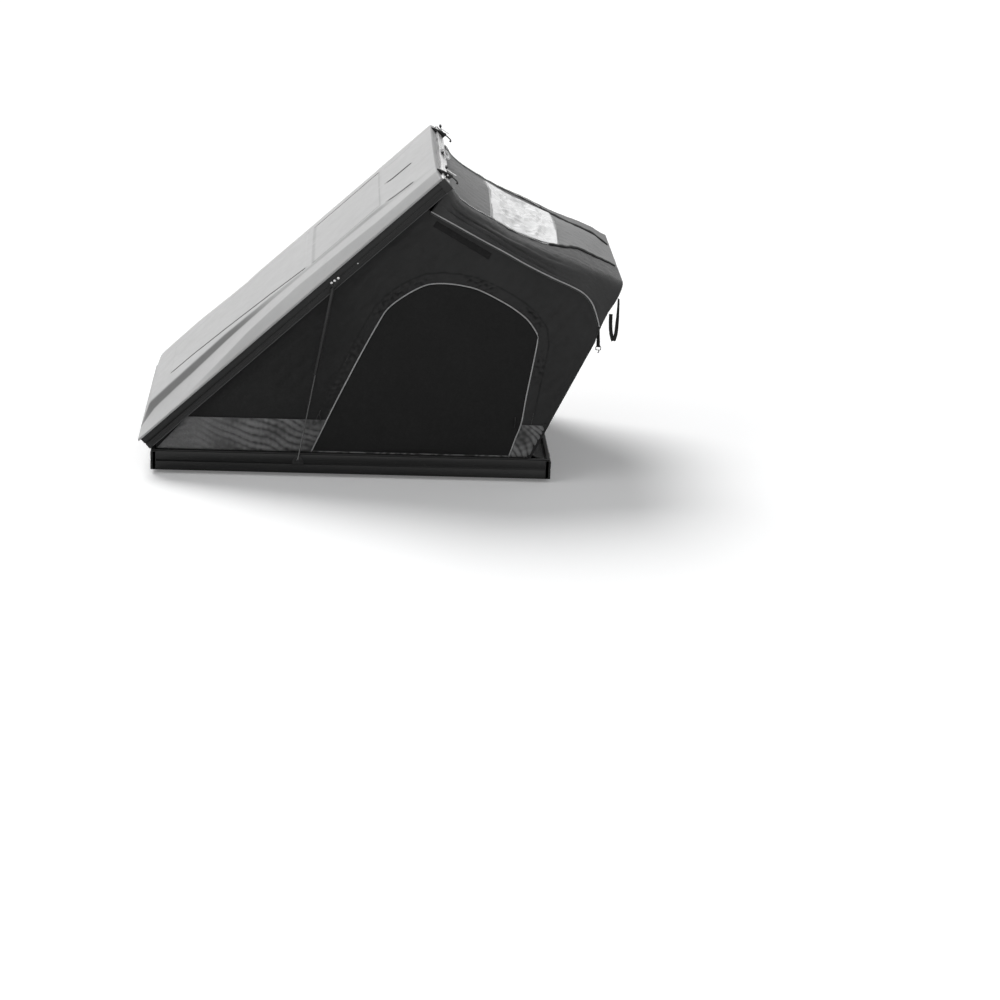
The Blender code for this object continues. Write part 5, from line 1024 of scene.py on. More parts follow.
PAIRS = (((-0.218, 0.106), (-1.041, 0.106)), ((-0.170, 0.215), (-1.0, 0.19)), ((-0.02, 0.54), (-0.62, 0.53)),
         ((0.128, 0.845), (-0.06, 1.07)), ((0.242, 0.975), (0.18, 1.30)), ((0.389, 1.052), (0.354, 1.466)),
         ((0.561, 1.048), (0.765, 1.240)), ((0.846, 0.922), (1.134, 1.062)), ((0.966, 0.791), (1.290, 0.846)),
         ((0.955, 0.667), (rear_x(0.66), 0.66)), ((0.842, 0.106), (rear_x(0.106), 0.106)))
fine_outer = at_share(outer_line, np.linspace(0, 1, 1200))
inner_keys = np.array([share_at(door_line, p) for p, _ in PAIRS])
outer_keys = np.array([share_at(fine_outer, p) for _, p in PAIRS])
inner_share = np.linspace(0, 1, 261)
wall_inner = at_share(door_line, inner_share)
wall_outer = at_share(outer_line, np.interp(inner_share, inner_keys, outer_keys))
across_share = np.concatenate([np.linspace(0, 0.30, 22), np.linspace(0.30, 1, 34)[1:]]) ** 1.25
wall_grid = wall_inner[None] + (wall_outer - wall_inner)[None] * across_share[:, None, None]

# %% [markdown]
# The relief is a sum of uneven fields, each brought to nothing where the cloth is sewn down: at the zip,
# at the rim, and at the foot, where the skirt lies over it.

# %% Relief of the canvas
FLAP_WIDTH, FLAP_HEIGHT = 0.058, 0.0045       # the storm flap, and how far it stands out


def puckers(x, z, side):
    """Short puckers across the storm flap, in patches, from about -1 to 1."""
    away = distance_to(door_line[::4], x, z)
    patchy = smooth_steps(-0.35, 0.9, waves(x, z, 0.32, 31 + side, 8))
    return waves(x * 1.6, z * 1.6, 0.055, 21 + side, 14) * bell(away - 0.036, 0.024) * patchy


def flap_relief(x, z, side):
    """The storm flap: a second layer 6 cm wide round the arch, with its puckers."""
    away = distance_to(door_line[::4], x, z)
    wide = FLAP_WIDTH + 0.004 * waves(x, z, 0.25, 11 + side)
    return FLAP_HEIGHT * falling(-0.0030, 0.0030, away - wide) + 0.0060 * puckers(x, z, side)


def wall_relief(x, z, side):
    """Slack cloth: broad billows, long creases along the lean of the lid, and the storm flap."""
    to_door = distance_to(door_line[::4], x, z)
    to_rim = distance_to(outer_line[1:-1], x, z)
    free = smooth_steps(0.0, 0.10, to_rim) * smooth_steps(0.0, 0.05, to_door)
    above_skirt = smooth_steps(0.27, 0.42, z)
    along = x * math.cos(OPEN) + z * math.sin(OPEN)
    down = z * math.cos(OPEN) - x * math.sin(OPEN)
    billow = 0.006 + 0.0045 * waves(x, z, 0.55, 41 + side, 8)
    creases = 0.0034 * waves(along * 0.35, down * 1.3, 0.09, 51 + side, 12) * smooth_steps(0, 0.05, to_rim)
    small = 0.0012 * waves(x, z, 0.06, 61 + side, 14)
    slack = billow * free + (creases + small) * smooth_steps(0.0, 0.03, to_door)
    flap = flap_relief(x, z, side) * smooth_steps(0.0, 0.012, to_door) * smooth_steps(0.002, 0.05, to_rim)
    return (slack + flap) * above_skirt


for label, side in SIDES:
    x, z = wall_grid[..., 0], wall_grid[..., 1]
    out = WALL_Y - 0.0006 + wall_relief(x, z, side)
    rim = bell(distance_to(door_line[::4], x, z) - 0.061, 0.004) * smooth_steps(0.30, 0.45, z)
    shaded = falling(-0.75, 0.75, x + 0.5 * (z - 0.8))
    shaded = np.clip(shaded + 0.9 * rim - 1.3 * puckers(x, z, side), 0, 1)
    wall = side_surface(f"side_canvas_{label}", x, z, out, side, side > 0, {"dark": shaded})
    thicken(wall, CLOTH)
    fold_away(wall, "dark_canvas", "walls", [f"side_wall_{label}"])
print("side walls:", [label for label, _ in SIDES])

# %% [markdown]
# The door is a leaf of the same canvas in a darker inner layer. Its rows blend from a short line in the
# middle of the sill to the arch, which keeps the columns from meeting in one point.

# %% Doors
sill = np.column_stack([np.linspace(-0.12, 0.75, 181), np.full(181, 0.106)])
arch = at_share(door_line, np.linspace(0, 1, 181))
reach = np.linspace(0, 1, 61)[:, None, None] ** 0.8
door_grid = sill[None] + (arch - sill)[None] * reach


def door_relief(x, z, side):
    """A broad shallow belly with slanting creases, held flat at the zip and at the sill."""
    held = smooth_steps(0.0, 0.08, distance_to(door_line[::4], x, z)) * smooth_steps(0.10, 0.22, z)
    slant = (x + 0.7 * z, z - 0.4 * x)
    return held * (0.002 + 0.0035 * waves(x, z, 0.5, 71 + side, 8)
                   + 0.0016 * waves(slant[0] * 1.3, slant[1] * 0.4, 0.10, 81 + side, 12)
                   + 0.0006 * waves(x, z, 0.05, 91 + side, 14))


for label, side in SIDES:
    x, z = door_grid[..., 0], door_grid[..., 1]
    out = WALL_Y - 0.0008 + door_relief(x, z, side)
    leaf = side_surface(f"door_leaf_{label}", x, z, out, side, side > 0)
    thicken(leaf, CLOTH)
    fold_away(leaf, "dark_canvas_door", "walls", [f"side_door_{label}"])
print("door leaf area:", round(flat_area(door_line), 3), "m2")

# %% [markdown]
# A light piping covers the door's zip, and another runs along the seam under the roof cover. Both are
# reflective cord in the photograph, so they are real round cords here and catch the light. Next to each
# runs a row of stitches, and a zip puller hangs at the foot of the arch.

# %% Piping, stitches and zip pullers
def side_piping(name, line, y, half_width, half_height):
    """A round cord along a line of the side wall."""
    cord = add_carried(name, on_side(line, y), oval(half_height, half_width, 8), up=OUTWARD)
    return fold_away(cord, "piping", "walls")


def offset_line(line, distance):
    """A flat line moved sideways by a distance, positive to its left."""
    along = unit(np.gradient(line, axis=0))
    return line + np.stack([-along[:, 1], along[:, 0]], axis=1) * distance


seam_line = smooth_line(SEAM_LINE, 90)
arch_line = smooth_line(DOOR_LINE[1:-1], 150)
for label, side in SIDES:
    side_piping(f"door_piping_{label}", door_line, side * (WALL_Y + 0.0014), 0.0024, 0.0034)
    side_piping(f"seam_piping_{label}", seam_line, side * (SEAM_Y + 0.0020), 0.0024, 0.0032)
    out = np.array([0.0, side, 0.0])
    rows = []
    for shift, base_y in ((0.009, WALL_Y + 0.0012), (0.0535, WALL_Y + 0.0034)):
        line = offset_line(arch_line, shift)
        rows.append(add_dashes("row", on_side(line, side * base_y), out, *STITCH))
    for shift in (-0.008, -0.012):
        line = offset_line(seam_line, shift)
        rows.append(add_dashes("row", on_side(line, side * (WALL_Y + 0.0012)), out, *STITCH))
    fold_away(join(f"wall_stitches_{label}", rows), "thread", "walls")
    tabs = []
    for x, z, lean in ((-0.176, 0.318, 0.35), (0.868, 0.318, -0.1)):
        drop = np.linspace(0, 1, 8)
        path = on_side(np.column_stack([x + lean * 0.02 * drop, z - 0.042 * drop]), side * (WALL_Y + 0.0062))
        tabs.append(add_carried("tab", path, slab(0.0012, 0.0045), up=OUTWARD))
        body = [(x, side * (WALL_Y + proud), z + rise)
                for proud, rise in ((0.0040, 0.014), (0.0048, 0.007), (0.0048, 0), (0.0040, -0.004))]
        tabs.append(add_carried("slider", smooth_line(body, 9), slab(0.0022, 0.0050), up=OUTWARD))
    fold_away(join(f"zip_pullers_{label}", tabs), "black_plastic", "walls")
print("piping and stitches on both sides")

# %% [markdown]
# High on each wall a dark vent strip runs under the seam. It is a thin second layer, slightly rippled and
# bent with the wall below it.

# %% Vent strip
vent_start, vent_end = np.array([0.405, 1.384]), np.array([0.700, 1.219])
vent_t, vent_w = np.meshgrid(np.linspace(0, 1, 60), np.linspace(-1, 1, 11))
vent_along = unit(vent_end - vent_start)
vent_across = np.array([-vent_along[1], vent_along[0]])
vent_xz = vent_start + (vent_end - vent_start) * vent_t[..., None] + vent_across * 0.018 * vent_w[..., None] \
    - vent_across * 0.010
for label, side in SIDES:
    x, z = vent_xz[..., 0], vent_xz[..., 1]
    to_end = np.minimum(vent_t, 1 - vent_t)
    raised = 0.0022 * np.minimum(1, (1 - np.abs(vent_w)) * 4) * np.minimum(1, to_end * 20)
    ripple = 0.0008 * waves(x * 2, z * 2, 0.035, 101 + side, 12)
    out = WALL_Y - 0.0004 + wall_relief(x, z, side) + raised + ripple * (raised > 0.001)
    strip = side_surface(f"vent_strip_{label}", x, z, out, side, side < 0)
    thicken(strip, 0.0008)
    fold_away(strip, "dark_canvas_door", "walls")
print("vent strip length:", round(float(np.linalg.norm(vent_end - vent_start)), 3), "m")

# %% [markdown]
# ## The skirts
# Round the foot of each wall runs a skirt of paler coated cloth that laps over the base rail. It is
# gathered, so it stands out in slanting folds. A fold is a wave whose phase bends with the height, and
# its crest is sharper than its hollow.

# %% Skirts
LID_FOOT = np.array([(-1.0405, 0.1075), (-0.8770, 0.290)])
door_left = door_line[:40]
door_right = door_line[::-1][:40]


def skirt_edge(line, z):
    order = np.argsort(line[:, 1])
    return np.interp(z, line[order, 1], line[order, 0])


def fold_relief(x, z, seed, lean, pitch, depth):
    """Slanting folds: the square root of a raised cosine has a round crest and a sharp hollow."""
    bend = 0.030 * waves(x, z, 0.22, seed, 6)
    phase = 2 * np.pi * (x + lean * (z - 0.1) + bend) / pitch
    crest = np.sqrt((1 + np.cos(phase)) / 2)
    uneven = 0.6 + 0.4 * waves(x, z, 0.16, seed + 1, 8)
    return depth * crest * np.clip(uneven, 0.15, 1.3)


def skirt_part(x_left, x_right, z, columns, side, seed, lean, pitch, depth):
    t = np.linspace(0, 1, columns)[None]
    x = x_left[:, None] * (1 - t) + x_right[:, None] * t
    z = np.broadcast_to(z[:, None], x.shape)
    held = smooth_steps(0.1070, 0.125, z) * (1 - 0.75 * smooth_steps(0.262, 0.288, z))
    ends = smooth_steps(0, 0.03, x - x_left[:, None]) * smooth_steps(0, 0.03, x_right[:, None] - x)
    relief = fold_relief(x, z, seed, lean, pitch, depth) + 0.0012 * waves(x, z, 0.03, seed + 2, 14)
    out = SKIRT_Y + 0.0004 + relief * held * ends + 0.0016 * ends
    # painted shade: the hollows of the folds are darker, fading out toward the front end
    painted_fold_shade = np.clip(1.0 - 1.5 * relief / depth, 0, 1) * smooth_steps(-1.0, -0.45, x)
    return side_surface("part", x, z, out, side, side > 0, {"dark": painted_fold_shade})


skirt_z = np.linspace(0.1075, SKIRT_TOP, 34)
strip_z = np.array([0.1075, 0.1095, 0.1120, 0.1150])
for label, side in SIDES:
    left_x = np.interp(skirt_z, LID_FOOT[:, 1], LID_FOOT[:, 0])
    pieces = [   # before the door, behind it, and the strip under it
        skirt_part(left_x, skirt_edge(door_left, skirt_z) - 0.0045, skirt_z,
                   150, side, 111 + side, 2.6, 0.105, 0.0110),
        skirt_part(skirt_edge(door_right, skirt_z) + 0.0045, rear_x(skirt_z) - 0.001, skirt_z,
                   60, side, 121 + side, 0.9, 0.042, 0.0100),
        skirt_part(skirt_edge(door_left, strip_z) - 0.005, skirt_edge(door_right, strip_z) + 0.005, strip_z,
                   90, side, 131 + side, 0.0, 0.2, 0.0005)]
    skirt = thicken(join(f"skirt_cloth_{label}", pieces), 0.0008)
    fold_away(skirt, "grey_skirt_cloth", "skirt", [f"skirt_{label}"])
    # painted shade: a black strip at the skirt's rear end stands for the skirt's rear face, which is in shade
    edge = np.array([(rear_x(z) - 0.010, z) for z in np.linspace(0.112, 0.300, 12)])
    painted_shade_strip = add_surface(f"rear_painted_shade_strip_{label}", np.stack([
        edge[:, 0][:, None] + np.array([-0.020, -0.019, 0.0, 0.010, 0.0105])[None],
        side * (SKIRT_Y + np.array([0.0012, 0.0030, 0.0036, 0.0030, 0.0008])[None] + 0 * edge[:, :1]),
        edge[:, 1][:, None] + np.zeros((1, 5))], axis=-1), flip=side > 0)
    thicken(painted_shade_strip, 0.0012)
    fold_away(painted_shade_strip, "black_webbing", "skirt")

# %% [markdown]
# ## The roof cover
# The roof cover is one cloth from the lid's rear rail to the end hoop. Across, it runs flat over the top,
# turns round the hoop's corner and falls to the seam along the side wall. So a point is found in two
# steps: t says how far it is from lid to hoop, which gives a point of the ridge and one of the seam, and
# fall says how far it has come from the ridge down to the seam. The ridge sags or rises by the table HANG,
# and the edges of the flat top hang a little lower, as cloth does between two bars.

# %% Guiding lines of the roof cover
RIDGE_START, RIDGE_END = np.array([0.46777, 1.55580]), np.array([1.40986, 1.06490])
HOOP_UP, HOOP_BEHIND = np.array([0.50942, 0.86052]), np.array([0.86052, -0.50942])
WRAP = 0.0115             # radius of the cloth round the end hoop
TUCK = 0.016              # how far it goes in behind the hoop
FLAT_Y = 0.499            # where the hoop's corner begins
HOOP_CORNER = 0.100       # bend radius of the end hoop's corners
CORNER = HOOP_CORNER + WRAP
CORNER_FALL = CORNER / 0.2468    # fall at the corner's lower end
ridge_along = unit(RIDGE_END - RIDGE_START)
RIDGE_UP = np.array([-ridge_along[1], ridge_along[0]])
LIFT = np.array([RIDGE_UP[0], 0.0, RIDGE_UP[1]])
COVER_SEAM_T = np.array([0, .18, .30, .40, .56, .69, .755, .99])
COVER_SEAM_Y = np.array([.497, .492, .482, .473, .440, .367, .298, .236])
WINDOW_START, WINDOW_END = 0.276, 0.645
FILM_START, FILM_END = WINDOW_START - 0.004, WINDOW_END + 0.004
WINDOW_COLUMNS, STRIP_COLUMNS, SIDE_COLUMNS = 30, 8, 16      # steps of half the grid, from the middle out
FLAT_COLUMNS = WINDOW_COLUMNS + STRIP_COLUMNS + 1
HANG = smooth_line([(0, 0), (.07, -.002), (.15, -.013), (.22, -.018), (.38, -.023), (.45, -.020), (.53, -.014),
                    (.60, -.008), (.68, .000), (.76, .008), (.83, .012), (.91, .010), (1, 0)], 200)
seam_fine = at_share(SEAM_LINE, np.linspace(0, 1, 400))


def cover_seam(t):
    """|y| of the two seams that run along the roof cover and frame the window."""
    return np.interp(t, COVER_SEAM_T, COVER_SEAM_Y)


def window_y(t, side):
    """|y| of the window's edge: close to the near seam, and well inside the far one."""
    t = np.clip(t, WINDOW_START, WINDOW_END)
    return cover_seam(t) - 0.014 if side < 0 else np.interp(t, (WINDOW_START, WINDOW_END), (0.352, 0.330))


def cover_point(t, y, fall):
    """ridge(t) + (seam(t) - ridge(t)) fall, moved along LIFT by the sag of HANG less the droop of the edges."""
    ridge = RIDGE_START + (RIDGE_END - RIDGE_START) * t[..., None]
    seam = read_at(t, np.linspace(0, 1, 400), seam_fine)
    crown = np.interp(t, HANG[:, 0], HANG[:, 1])
    droop = 0.036 * (1 - t ** 6) * smooth_steps(0.0, 0.10, t) * np.clip(np.abs(y) / 0.5, 0, 1) ** 2
    spot = ridge + (seam - ridge) * fall[..., None] + RIDGE_UP * ((crown - droop) * (1 - fall))[..., None]
    return np.stack([spot[..., 0], y, spot[..., 1]], axis=-1)


# %% [markdown]
# The grid's columns are close together at the window's edge and round the corner. Each half is worked out
# on its own, with its drapes pushed out along the surface's normals, and a value named "dark" says where
# the cloth is of the darker kind, and carries painted shade on the grey panel near the lid.

# %% Columns across the cover
near_edge = np.array([-0.006, -0.002, 0, 0.002, 0.006])
cover_t = np.unique(np.round(np.concatenate([
    np.linspace(0, 1, 111), WINDOW_START + near_edge, WINDOW_END + near_edge]), 5))
corner_turn = np.linspace(0, np.pi / 2, 15)[1:]
lower = smooth_line([(FLAT_Y + CORNER, CORNER_FALL), (0.6262, 0.72), (SEAM_Y, 1.0)], SIDE_COLUMNS)[1:]


def cover_columns(t, side):
    """|y| and fall of every column, for each t: the window's width, the strip beside it, corner, side."""
    window = window_y(t, side)[:, None]
    inner = window * np.linspace(0, 1, WINDOW_COLUMNS + 1)[None]
    strip = window + (FLAT_Y - window) * np.linspace(0, 1, STRIP_COLUMNS + 1)[None, 1:]
    corner_y = FLAT_Y + CORNER * np.sin(corner_turn)[None] + 0 * window
    side_y = lower[:, 0][None] + 0 * window
    y = np.concatenate([inner, strip, corner_y, side_y, side_y[:, -1:]], axis=1)
    fall = np.concatenate([np.zeros(FLAT_COLUMNS), CORNER_FALL * (1 - np.cos(corner_turn)),
                           lower[:, 1], [1.0]])
    return y, np.broadcast_to(fall[None], y.shape)


def cover_relief(t, y, fall, side):
    """Drapes: long ridges that fan from the lid's corner, slack between lid and hoop, fine crumples."""
    fan = falling(0.55, 0.95, t) * smooth_steps(0, 0.08, t) * sum(
        bell(fall - (a + b * t), 0.045 + 0.05 * t) for a, b in ((0.12, 0.10), (0.34, 0.30), (0.58, 0.32)))
    slack = waves(t * 1.0, fall * 0.5 + y * 0.6, 0.30, 141 + side, 8) * smooth_steps(0, 0.1, t) \
        * falling(0.90, 0.99, t)
    seam_pull = smooth_steps(0.0, 0.12, 1 - fall)
    small = waves(t, y + fall * 0.4, 0.055, 151 + side, 14) * smooth_steps(0.01, 0.06, t)
    return seam_pull * (0.0110 * fan * smooth_steps(0.05, 0.3, fall) + 0.0050 * slack + 0.0014 * small
                        * falling(0.93, 0.99, t))


halves, darks = {}, {}
for label, side in SIDES:
    half_y, half_fall = cover_columns(cover_t, side)
    t_grid = np.broadcast_to(cover_t[:, None], half_y.shape)
    border = cover_seam(t_grid) + 0.002
    if side > 0:
        border = border + (0.372 - border) * falling(0.60, 0.66, t_grid)
    shade = smooth_steps(-0.003, 0.003, half_y - border)
    if side > 0:
        shade = shade * (0.45 + 0.55 * falling(0.55, 0.66, t_grid)) \
            + 0.55 * smooth_steps(FLAT_Y - 0.01, FLAT_Y + 0.05, half_y)
    # painted shade: the grey panel is darker near the lid
    shade = shade + 0.30 * falling(0.20, 0.55, t_grid) * (half_y < border)
    darks[label] = np.clip(shade, 0, 1)
    points = cover_point(t_grid, half_y, half_fall)
    points[:, -1, 2] -= 0.012
    relief = cover_relief(t_grid, half_y, half_fall, side) * smooth_steps(0.0, 0.02, half_y)
    halves[label] = pushed(points, relief) * (1, side, 1)
cover_grid = both_halves(*halves.values())
cover_dark = both_halves(*darks.values())
print("roof cover grid:", cover_grid.shape)

# %% [markdown]
# At its rear edge the cover turns round the hoop and is tucked in behind it. Each further row of the grid
# is the last one, moved round the tube. The window's faces are then left out of the grid.

# %% Round the end hoop
on_hoop = np.concatenate([np.ones(FLAT_COLUMNS + len(corner_turn)), np.linspace(1, 0, 6)[1:], np.zeros(11)])
round_y = np.concatenate([np.zeros(FLAT_COLUMNS), np.sin(corner_turn), np.ones(SIDE_COLUMNS)])
round_up = np.concatenate([np.ones(FLAT_COLUMNS), np.cos(corner_turn), np.zeros(SIDE_COLUMNS)])
half_outward = np.stack([HOOP_UP[0] * round_up, round_y, HOOP_UP[1] * round_up], axis=1)
outward = np.concatenate([half_outward[:0:-1] * (1, -1, 1), half_outward])
share = np.concatenate([on_hoop[:0:-1], on_hoop])[:, None]
behind = np.array([HOOP_BEHIND[0], 0.0, HOOP_BEHIND[1]])
wrap_rows = []
for turn_now in np.radians([15, 30, 45, 60, 75, 90]):
    round_tube = behind * math.sin(turn_now) * (WRAP * share + 0.004 * (1 - share))
    wrap_rows.append(cover_grid[-1] + round_tube - outward * WRAP * (1 - math.cos(turn_now)) * share)
inward = outward * share + np.array([HOOP_UP[0], 0, HOOP_UP[1]]) * (1 - share)
wrap_rows += [wrap_rows[-1] - inward * tuck for tuck in (0.005, 0.010, TUCK)]
whole_cover = np.concatenate([cover_grid, np.stack(wrap_rows)])
middle_row = arc_lengths(whole_cover[40])
middle_column = arc_lengths(whole_cover[:, whole_cover.shape[1] // 2])
cover_uv = np.stack(np.broadcast_arrays(middle_column[:, None], middle_row[None]), axis=-1)

columns = whole_cover.shape[1]
first, last = np.searchsorted(cover_t, (WINDOW_START - 1e-4, WINDOW_END - 1e-4))
keep = np.ones((len(whole_cover) - 1, columns - 1), bool)
centre = columns // 2
keep[first:last, centre - WINDOW_COLUMNS:centre + WINDOW_COLUMNS] = False
cover_dark = np.concatenate([cover_dark, np.broadcast_to(cover_dark[-1:], (len(wrap_rows), columns))])
cover = add_surface("roof_cover_cloth", whole_cover, keep=keep, uv=cover_uv, values={"dark": cover_dark})
thicken(cover, CLOTH)
fold_away(cover, "grey_roof_cloth", "cover", ["roof_cover"])
print("window opening:", last - first, "rows")

# %% [markdown]
# The window in the roof is clear film, sewn in behind the cloth. Film never lies flat: it is crumpled by
# folding, so small sharp creases go into the mesh itself. A folded binding frames it.

# %% Window film and its frame
film_rows = np.linspace(FILM_START, FILM_END, 100)
film_w = np.linspace(-1, 1, 141)
film_t = np.broadcast_to(film_rows[:, None], (100, 141))
film_near, film_far = (window_y(film_rows, side)[:, None] + 0.006 for side in (-1, 1))
film_y = film_w[None] * np.where(film_w < 0, film_near, film_far)
film_points = cover_point(film_t, film_y, np.zeros_like(film_t))
crumple = np.abs(waves(film_t * 0.9, film_y * 0.7, 0.20, 161, 9)) \
    + 0.45 * np.abs(waves(film_t * 0.9, film_y * 0.6, 0.06, 162, 12))
to_ends = np.minimum(film_t - FILM_START, FILM_END - film_t)
held = np.minimum(to_ends * 12, (1 - np.abs(film_w))[None] * 6)
film_points = pushed(film_points, -0.0012 + (0.0100 * crumple - 0.005) * np.clip(held, 0, 1))
film = add_surface("window_film_pane", film_points)
thicken(film, 0.0005)
fold_away(film, "clear_film", "cover", ["skylight_pane"])


def cover_line(t, y, lift=0.0, side=1):
    """A line on the cover's surface, interpolated from its own grid so that it lies on the relief."""
    t, y = np.broadcast_arrays(np.asarray(t, float), np.asarray(y, float))
    rows = np.interp(t, cover_t, np.arange(len(cover_t)))
    half = halves["left" if side < 0 else "right"]
    found = []
    for r, target in zip(rows, np.abs(y)):
        low = min(int(r), len(cover_t) - 2)
        line = (half[low] * (1 - (r - low)) + half[low + 1] * (r - low))[:FLAT_COLUMNS + 1]
        found.append(read_at(target, line[:, 1] * side, line))
    return np.array(found) + LIFT * lift


BINDING = slab(0.0065, 0.0010)
frame_bits = []
rim_t = np.linspace(FILM_START, FILM_END, 60)
for side in (-1, 1):
    rim = cover_line(rim_t, window_y(rim_t, side) + 0.004, 0.0016, side)
    frame_bits.append(add_carried("bit", rim, BINDING, up=LIFT))
for t in (FILM_START, FILM_END):
    near, far = (float(window_y(np.array([t]), side)[0]) + 0.008 for side in (-1, 1))
    left_half = cover_line(np.full(30, t), np.linspace(near, 0.0, 31)[:-1], 0.0016, -1)
    right_half = cover_line(np.full(30, t), np.linspace(0.0, far, 30), 0.0016, 1)
    frame_bits.append(add_carried("bit", np.vstack([left_half, right_half]), BINDING, up=LIFT))
frame_band = join("window_binding", frame_bits)
fold_away(frame_band, "piping", "cover")
print("film width", round(float(film_near.mean() + film_far.mean()), 3), "m")

# %% [markdown]
# Two zips run along the cover beside the window. Their teeth are hundreds of tiny blocks on a tape, and
# toward the hoop each disappears under a raised flap, dressed in the dark door canvas as painted shade for
# the shadow under its lifted edge.

# %% Zips and flaps of the cover
teeth, tapes, stitches = [], [], []
for label, side in SIDES:
    zip_t = np.linspace(0.012, 0.62, 120)
    proud = 0.0050 if side > 0 else 0.0
    line = cover_line(zip_t, cover_seam(zip_t), 0.0024 + proud, side)
    tapes.append(add_carried("tape", cover_line(zip_t, cover_seam(zip_t), 0.0010 + proud, side),
                             slab(0.0120 + proud, 0.0007), up=LIFT))
    teeth.append(add_dashes("teeth", line, LIFT, 0.0105, 0.0062, 0.0068, 0.0022 + 0.3 * proud))
    for shift in (-0.0090, 0.0090):
        stitches.append(add_dashes("row", line, LIFT, *LONG_STITCH, lift=-0.0002, shift=shift))
    flap_t = np.linspace(0.60, 0.985, 70)
    width = 0.014 + 0.010 * np.sin(np.pi * np.linspace(0, 1, 70)) ** 0.6
    base_line = cover_line(flap_t, cover_seam(flap_t), 0.0, side)
    across_flap = np.linspace(-1, 1, 11)
    rise = 0.0016 + 0.0060 * np.clip(1 - across_flap ** 2, 0, 1) ** 0.7
    wobble = 0.0015 * waves(flap_t * 1.2, flap_t * 0, 0.12, 171 + side, 6)
    lifted = rise[None] + wobble[:, None] * (1 - np.abs(across_flap))[None]
    flap_points = base_line[:, None] + LIFT * lifted[..., None] \
        + np.array(OUTWARD) * (across_flap[None] * width[:, None])[..., None]
    flap = add_surface(f"zip_flap_{label}", flap_points)
    thicken(flap, CLOTH)
    # painted shade: the flap's dark canvas stands for the shadow under its edge
    fold_away(flap, "dark_canvas_door", "cover")
fold_away(join("cover_zip_teeth", teeth), "bright_bolt", "cover")
fold_away(join("cover_zip_tapes", tapes), "dark_canvas_door", "cover")
fold_away(join("cover_stitches", stitches), "thread", "cover")
print("zip teeth on both sides")

# %% [markdown]
# ## The rear wall
# Behind the bow hangs the rear wall, from a tuck behind the end hoop to the base's rear rail. It goes
# straight down from the hoop to the bow's knee, follows the bow, and turns outward over the rail. Its
# door has a zip with light piping, like the side doors.

# %% Rear wall and its door
REAR_FOOT = (1.0393, 0.094)
DOOR_HALF, DOOR_COLUMNS = 0.36, 24
DOOR_LOW, DOOR_HIGH = 0.16, 0.76
edge_y = np.array([0.626, 0.6388])
levels = np.array([0.12, 0.16, 0.30, 0.45, 0.60, 0.70, DOOR_HIGH])
half_columns = np.concatenate([np.linspace(0, DOOR_HALF, DOOR_COLUMNS + 1),
                               np.linspace(DOOR_HALF, FLAT_Y, 10)[1:]])
rear_turn = np.linspace(0, np.pi / 2, 9)[1:]
hoop_y = np.concatenate([half_columns, FLAT_Y + HOOP_CORNER * np.sin(rear_turn), edge_y])
hoop_down = np.concatenate([np.zeros(len(half_columns)), HOOP_CORNER * (1 - np.cos(rear_turn))])
top_out_y = np.concatenate([np.zeros(len(half_columns)), np.sin(rear_turn)])
top_out_up = np.concatenate([np.ones(len(half_columns)), np.cos(rear_turn)])
HOOP_END = np.array([1.404, 1.055])
inward_by = TUCK + 0.002
edge_top = cover_point(np.ones(2), edge_y, np.array([0.72, 0.95]))
top_xz = np.vstack([
    HOOP_END - HOOP_UP * (hoop_down + inward_by * top_out_up)[:, None] + HOOP_BEHIND * WRAP,
    edge_top[:, (0, 2)] + HOOP_BEHIND * 0.004 - HOOP_UP * inward_by])
top_y = np.append(hoop_y[:-2] - top_out_y * inward_by, edge_y)
control = [np.stack([np.full_like(hoop_y, x), hoop_y, np.full_like(hoop_y, z)], axis=1)
           for x, z in (REAR_FOOT, (0.985, 0.108), *((rear_x(z), z) for z in levels))]
knee, top = control[-1], np.column_stack([top_xz[:, 0], top_y, top_xz[:, 1]])
control += [knee + (top - knee) * share for share in (0.4, 0.75, 1.0)]
control = np.stack(control)
steps = [5, 4, 4, 14, 14, 14, 10, 8, 12, 10, 7]
down_rows = np.concatenate([k + np.arange(n) / n for k, n in enumerate(steps)] + [[len(control) - 1]])
low = np.minimum(down_rows.astype(int), len(control) - 2)
part_way = (down_rows - low)[:, None, None]
rear_half = control[low] * (1 - part_way) + control[low + 1] * part_way


def rear_relief(points, side):
    """Slack cloth hanging between the hoop and the rail, with folds under the hoop's corners."""
    y, z = points[..., 1], points[..., 2]
    held = smooth_steps(0.12, 0.25, z) * falling(0.88, 0.97, z / 1.05)
    held = held * smooth_steps(0, 0.06, edge_y[-1] - y)
    frame_edge = np.maximum(np.abs(y) - DOOR_HALF, np.maximum(DOOR_LOW - z, z - DOOR_HIGH))
    near_zip = smooth_steps(0.0, 0.03, np.abs(frame_edge))
    hang = 0.005 * waves(y, z * 0.4, 0.30, 181 + side, 8) + 0.0012 * waves(y, z, 0.06, 191 + side, 14)
    corner = 0.0022 * np.sin((y * 0.8 + z) * 55) * bell(y - 0.52, 0.10) * bell(z - 0.90, 0.10)
    return held * (near_zip * hang + corner)


